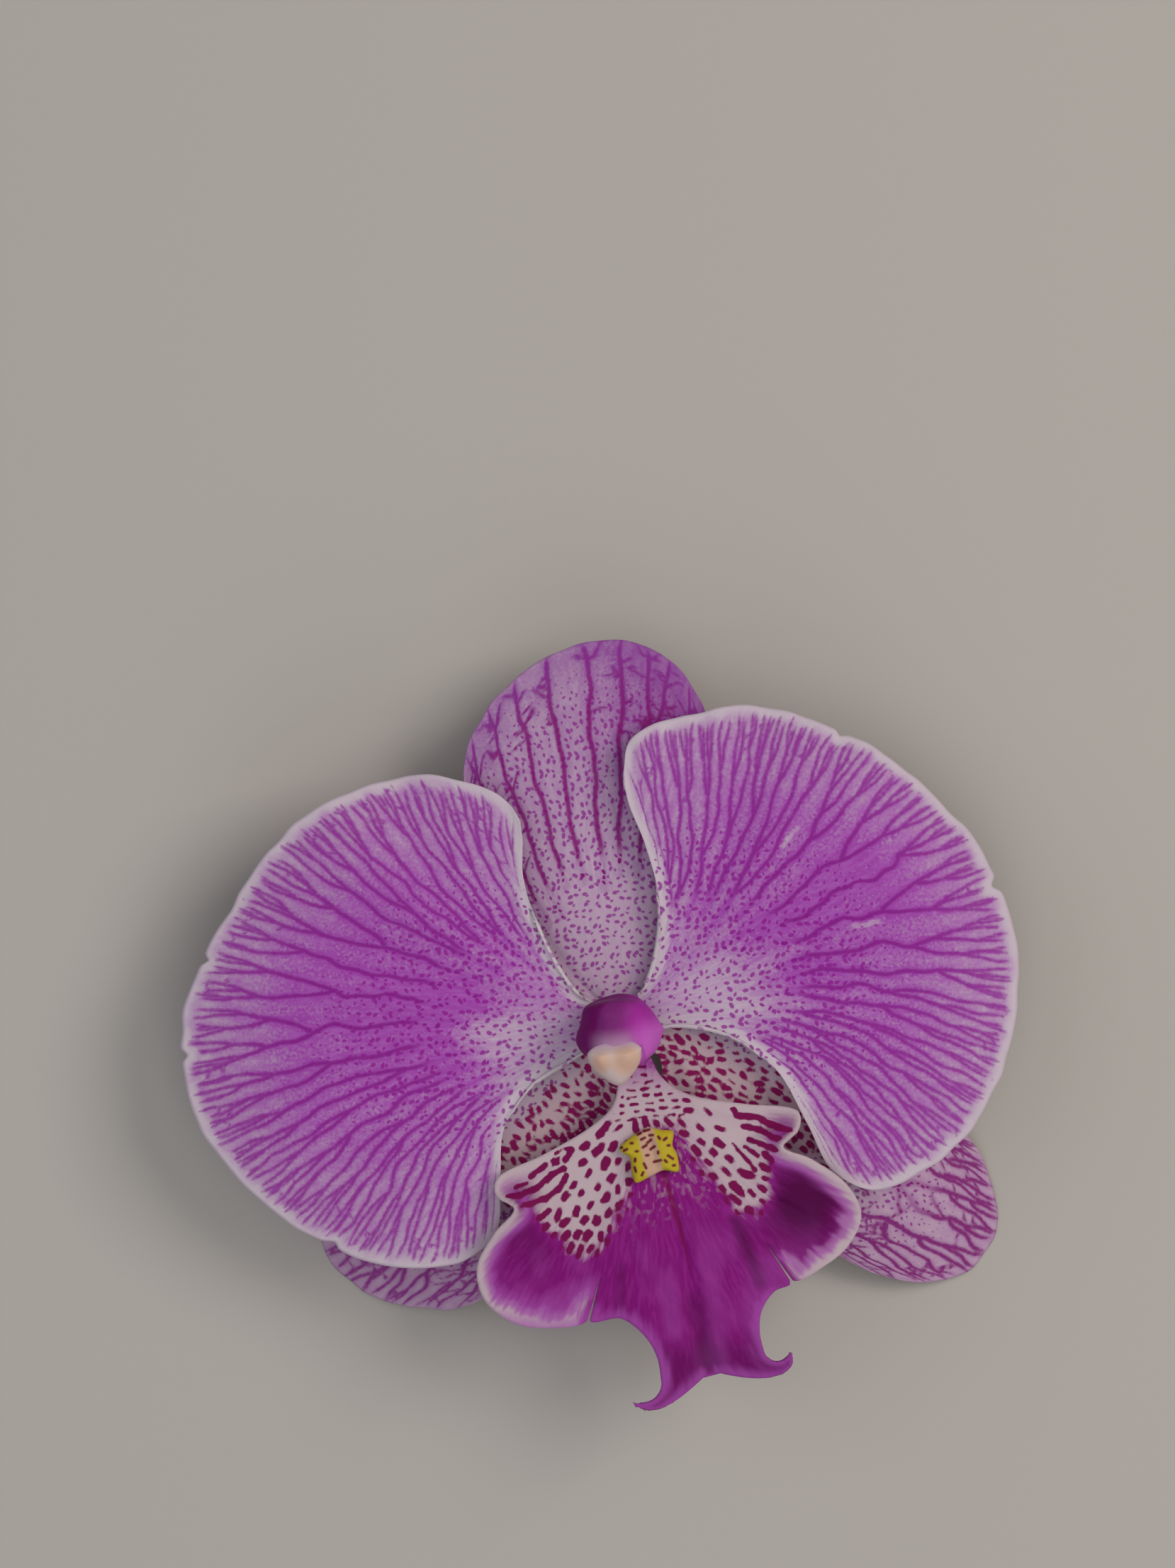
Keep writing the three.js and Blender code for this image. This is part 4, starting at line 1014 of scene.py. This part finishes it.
column_stations = [  # height, tilt, share of size, foot's radius, then the shares of hood, ridge and tip
    (1.3, 0, 1, 1.7, 0, 0, 0), (2.2, 0, 1, 2.7, 0, 0, 0), (3.6, 0, 1, 3.1, 0, 0, 0),
    (5.0, 2, 1, 1.8, 0.5, 0, 0), (6.2, 5, 1, 0, 0.98, 0, 0), (7.5, 8, 1, 0, 0.95, 0.05, 0),
    (8.6, 10, 1, 0, 0.78, 0.22, 0), (9.6, 11, 1, 0, 0.55, 0.45, 0), (10.3, 13, 1, 0, 0.28, 0.72, 0),
    (10.8, 14, 1, 0, 0.1, 0.7, 0.2),
    (11.2, 15, 1, 0, 0, 0.45, 0.55), (11.5, 16, 0.85, 0, 0, 0.1, 0.9), (11.7, 16, 0.5, 0, 0, 0, 1),
    (11.78, 16, 0.2, 0, 0, 0, 1), (11.8, 16, 0.02, 0, 0, 0, 1),
]


def column_surface(round_it, up_it, open_):
    """Rings that pass from the round foot to the hood's outline, its ridge and its tip.

    The stigma is hollowed out of the side that faces the lip."""
    z, tilt, size, foot, *shares = spline(column_stations, up_it * (len(column_stations) - 1)).T
    turn = 2 * math.pi * round_it
    ring = np.stack([foot * np.cos(turn), foot * np.sin(turn)])
    for share, outline in zip(shares, (column_hood, column_ridge, column_tip)):
        ring = ring + share * spline(outline, round_it * (len(outline) - 1)).T
    middle = np.array(column_middle_mm)[:, None] * np.minimum(1, sum(shares))
    outward = (ring - middle) * size * open_
    facing_lip = np.arctan2(outward[1], outward[0]) + math.pi / 2
    hollow = 0.36 * np.exp(-(facing_lip / 0.6) ** 2) * smooth(5.2, 7.0, z) * smooth(9.8, 8.6, z)
    x, y = middle + outward * (1 - hollow)
    return np.stack([x, y, z + (y - middle[1]) * np.tan(np.radians(tilt))], axis=1)


def column_painted_shade(x, y, z):
    """Painted shade: the steep left side is darker."""
    return 0.9 * smooth(0.35, -0.35, x - np.interp(y, (-3.3, -0.3, 1.5, 2.7), (-3.8, -2.8, -2.2, -1.2)))


def column_stigma(x, y, z):
    """The rim of the stigma, to the right of the cap."""
    bends = ((2.2, -3.0), (2.5, -4.3), (1.8, -5.6), (0.7, -6.3))
    return smooth(0.3, 0.05, np.minimum.reduce([beyond(a, b, x, y) for a, b in zip(bends, bends[1:])])) * 0.7


def column_pale_and_painted_highlight(x, y, z):
    """The pale skin above the cap, and a faint painted highlight along the top of the back."""
    behind = y - np.interp(x, (-4, -1.5, 0.4, 2.7), (2.2, 2.7, 2.9, 2.3))
    # A thin painted highlight along the top edge of the back.
    rim = 0.4 * smooth(-0.2, 0.2, behind) * smooth(8.0, 9.5, z)
    return np.maximum(smooth(-0.2, -2.8, y) * smooth(3.4, 1.2, abs(x + 1)), rim)


# Firm purple flesh: smooth and even, with a soft painted highlight on its right and painted shade on its left
# flank.
column_flesh = fleshy("column", {
    "all": "82297a", "painted_light": "ac2fa6", "lilac": "cc68cc",
    "painted_shade": "780a66", "pale": "b68ab2", "stigma": "a04c9c",
}, roughness=0.55, mottle=0.06)
finish(closed_skin("column_body", column_surface, 120, 100, column_flesh, {
    # Painted light: lighter toward the right side.
    "painted_light": lambda x, y, z: smooth(-0.8, 2.6, x - 0.3 * y),
    "lilac": lambda x, y, z: 0.9 * smooth(0.8, -2.8, y - 0.3 * (x - 2)) * smooth(0.2, 2.8, x),
    "painted_shade": column_painted_shade,
    "pale": column_pale_and_painted_highlight,
    "stigma": column_stigma,
}), "column")


# Anther cap
# The small cream hood that sits loosely over the column's tip: waxy, three-cornered, with its blunt
# beak toward the lip and two soft swellings over the pollen.
cap_outline = [
    (2.2, -3.2), (1.3, -2.4), (-1.2, -2.2), (-3.2, -2.5), (-4.2, -3.4), (-3.7, -5.1), (-2.4, -6.5),
    (-0.9, -7.4), (0.7, -6.4), (1.9, -4.7), (2.2, -3.2),
]
cap_middle_mm = (-1.0, -4.4)
cap_height_mm = 10.8
cap_slope = 0.4
cap_steps = [(1, -0.9), (1.01, -0.2), (0.98, 0.4), (0.86, 0.9), (0.6, 1.25), (0.3, 1.38), (0.02, 1.4)]


def cap_surface(round_it, up_it, open_):
    """Rings in the cap's outline, low at the back, with the two swellings."""
    scale, height = spline(cap_steps, up_it * (len(cap_steps) - 1)).T
    middle = np.array(cap_middle_mm)[:, None]
    ring = spline(cap_outline, round_it * (len(cap_outline) - 1)).T
    x, y = middle + (ring - middle) * scale * open_
    swollen = sum(np.exp(-((x - a) ** 2 + (y - b) ** 2) / 1.3) for a, b in ((-2.6, -4.2), (0.5, -4.2)))
    height = height * (1 - 0.7 * smooth(-3.8, -2.4, y)) + 0.45 * swollen * smooth(0.3, 0.7, up_it)
    return np.stack([x, y, cap_height_mm + cap_slope * (y - cap_middle_mm[1]) + height], axis=1)


def cap_edge(x, y, z):
    """The paler skin round the two swellings."""
    return smooth(0.9, 2.6, np.hypot(x - 0.3, y + 4.4)) * smooth(0.5, 1.8, np.hypot(x + 2.6, y + 4.4))


# Waxy cream skin: warm over the pollen, greyer at its edge, with a dull shine.
cap_wax = fleshy("anther cap", {"all": "dcb7a2", "edge": "d8c6c4", "purple": "b48cb0"}, mottle=0.1)
finish(closed_skin("anther_cap_body", cap_surface, 96, 64, cap_wax, {
    "edge": cap_edge,
    "purple": lambda x, y, z: 0.9 * smooth(-3.4, -2.2, y),
}), "anther_cap")


# Pedicel
# The bloom's stalk with the ovary in it: a firm green rod with faint ridges that was cut at a scar.
# It flares into the pink joint that carries the sepals.
pedicel_stations = [  # centre, tilt and radius of each ring
    (1.25, 37.8, -11.35, -90, 1.5), (1.2, 37.0, -11.25, -90, 1.9),
    (1.1, 35.4, -11.6, -90, 1.6), (0.6, 30.0, -11.6, -90, 1.55),
    (0.2, 22.0, -11.55, -90, 1.6), (0, 14.0, -11.5, -90, 1.65),
    (0, 10.0, -11.35, -84, 1.7), (0, 6.6, -10.7, -72, 1.75),
    (0, 3.9, -9.4, -58, 1.8), (0, 1.8, -7.6, -42, 1.85),
    (0, 0.5, -5.6, -22, 1.9), (0, -0.1, -3.6, -6, 2.1),
    (0, -0.2, -2.4, 0, 2.8), (0, -0.2, -1.7, 0, 2.9),
]


def pedicel_surface(round_it, up_it, open_):
    """Leaning rings with six shallow grooves, pressed flat where they lie on the surface."""
    x, y, z, tilt, radius = spline(pedicel_stations, up_it * (len(pedicel_stations) - 1)).T
    turn, lean = 2 * math.pi * round_it, np.radians(tilt)
    grooved = open_ * (1 + 0.025 * np.cos(12 * math.pi * round_it))
    depth = radius * np.sin(turn) * grooved
    z = np.maximum(z + depth * np.sin(lean), -bloom_middle_mm[2])
    return np.stack([x + radius * np.cos(turn) * grooved, y + depth * np.cos(lean), z], axis=1)


# Green stem skin: faintly streaked along its length, pinkish where it flares, and dry at the cut.
pedicel_rod = fleshy("pedicel", {"all": "8a9450", "pink": "b07a92", "cut": "b3a77c"}, mottle=0.5,
                     stretch=(1, 0.25, 1))
finish(closed_skin("pedicel_rod", pedicel_surface, 64, 160, pedicel_rod, {
    "pink": lambda x, y, z: smooth(9, 1, y) * 0.9,
    "cut": lambda x, y, z: smooth(37.4, 37.8, y),
}), "pedicel")
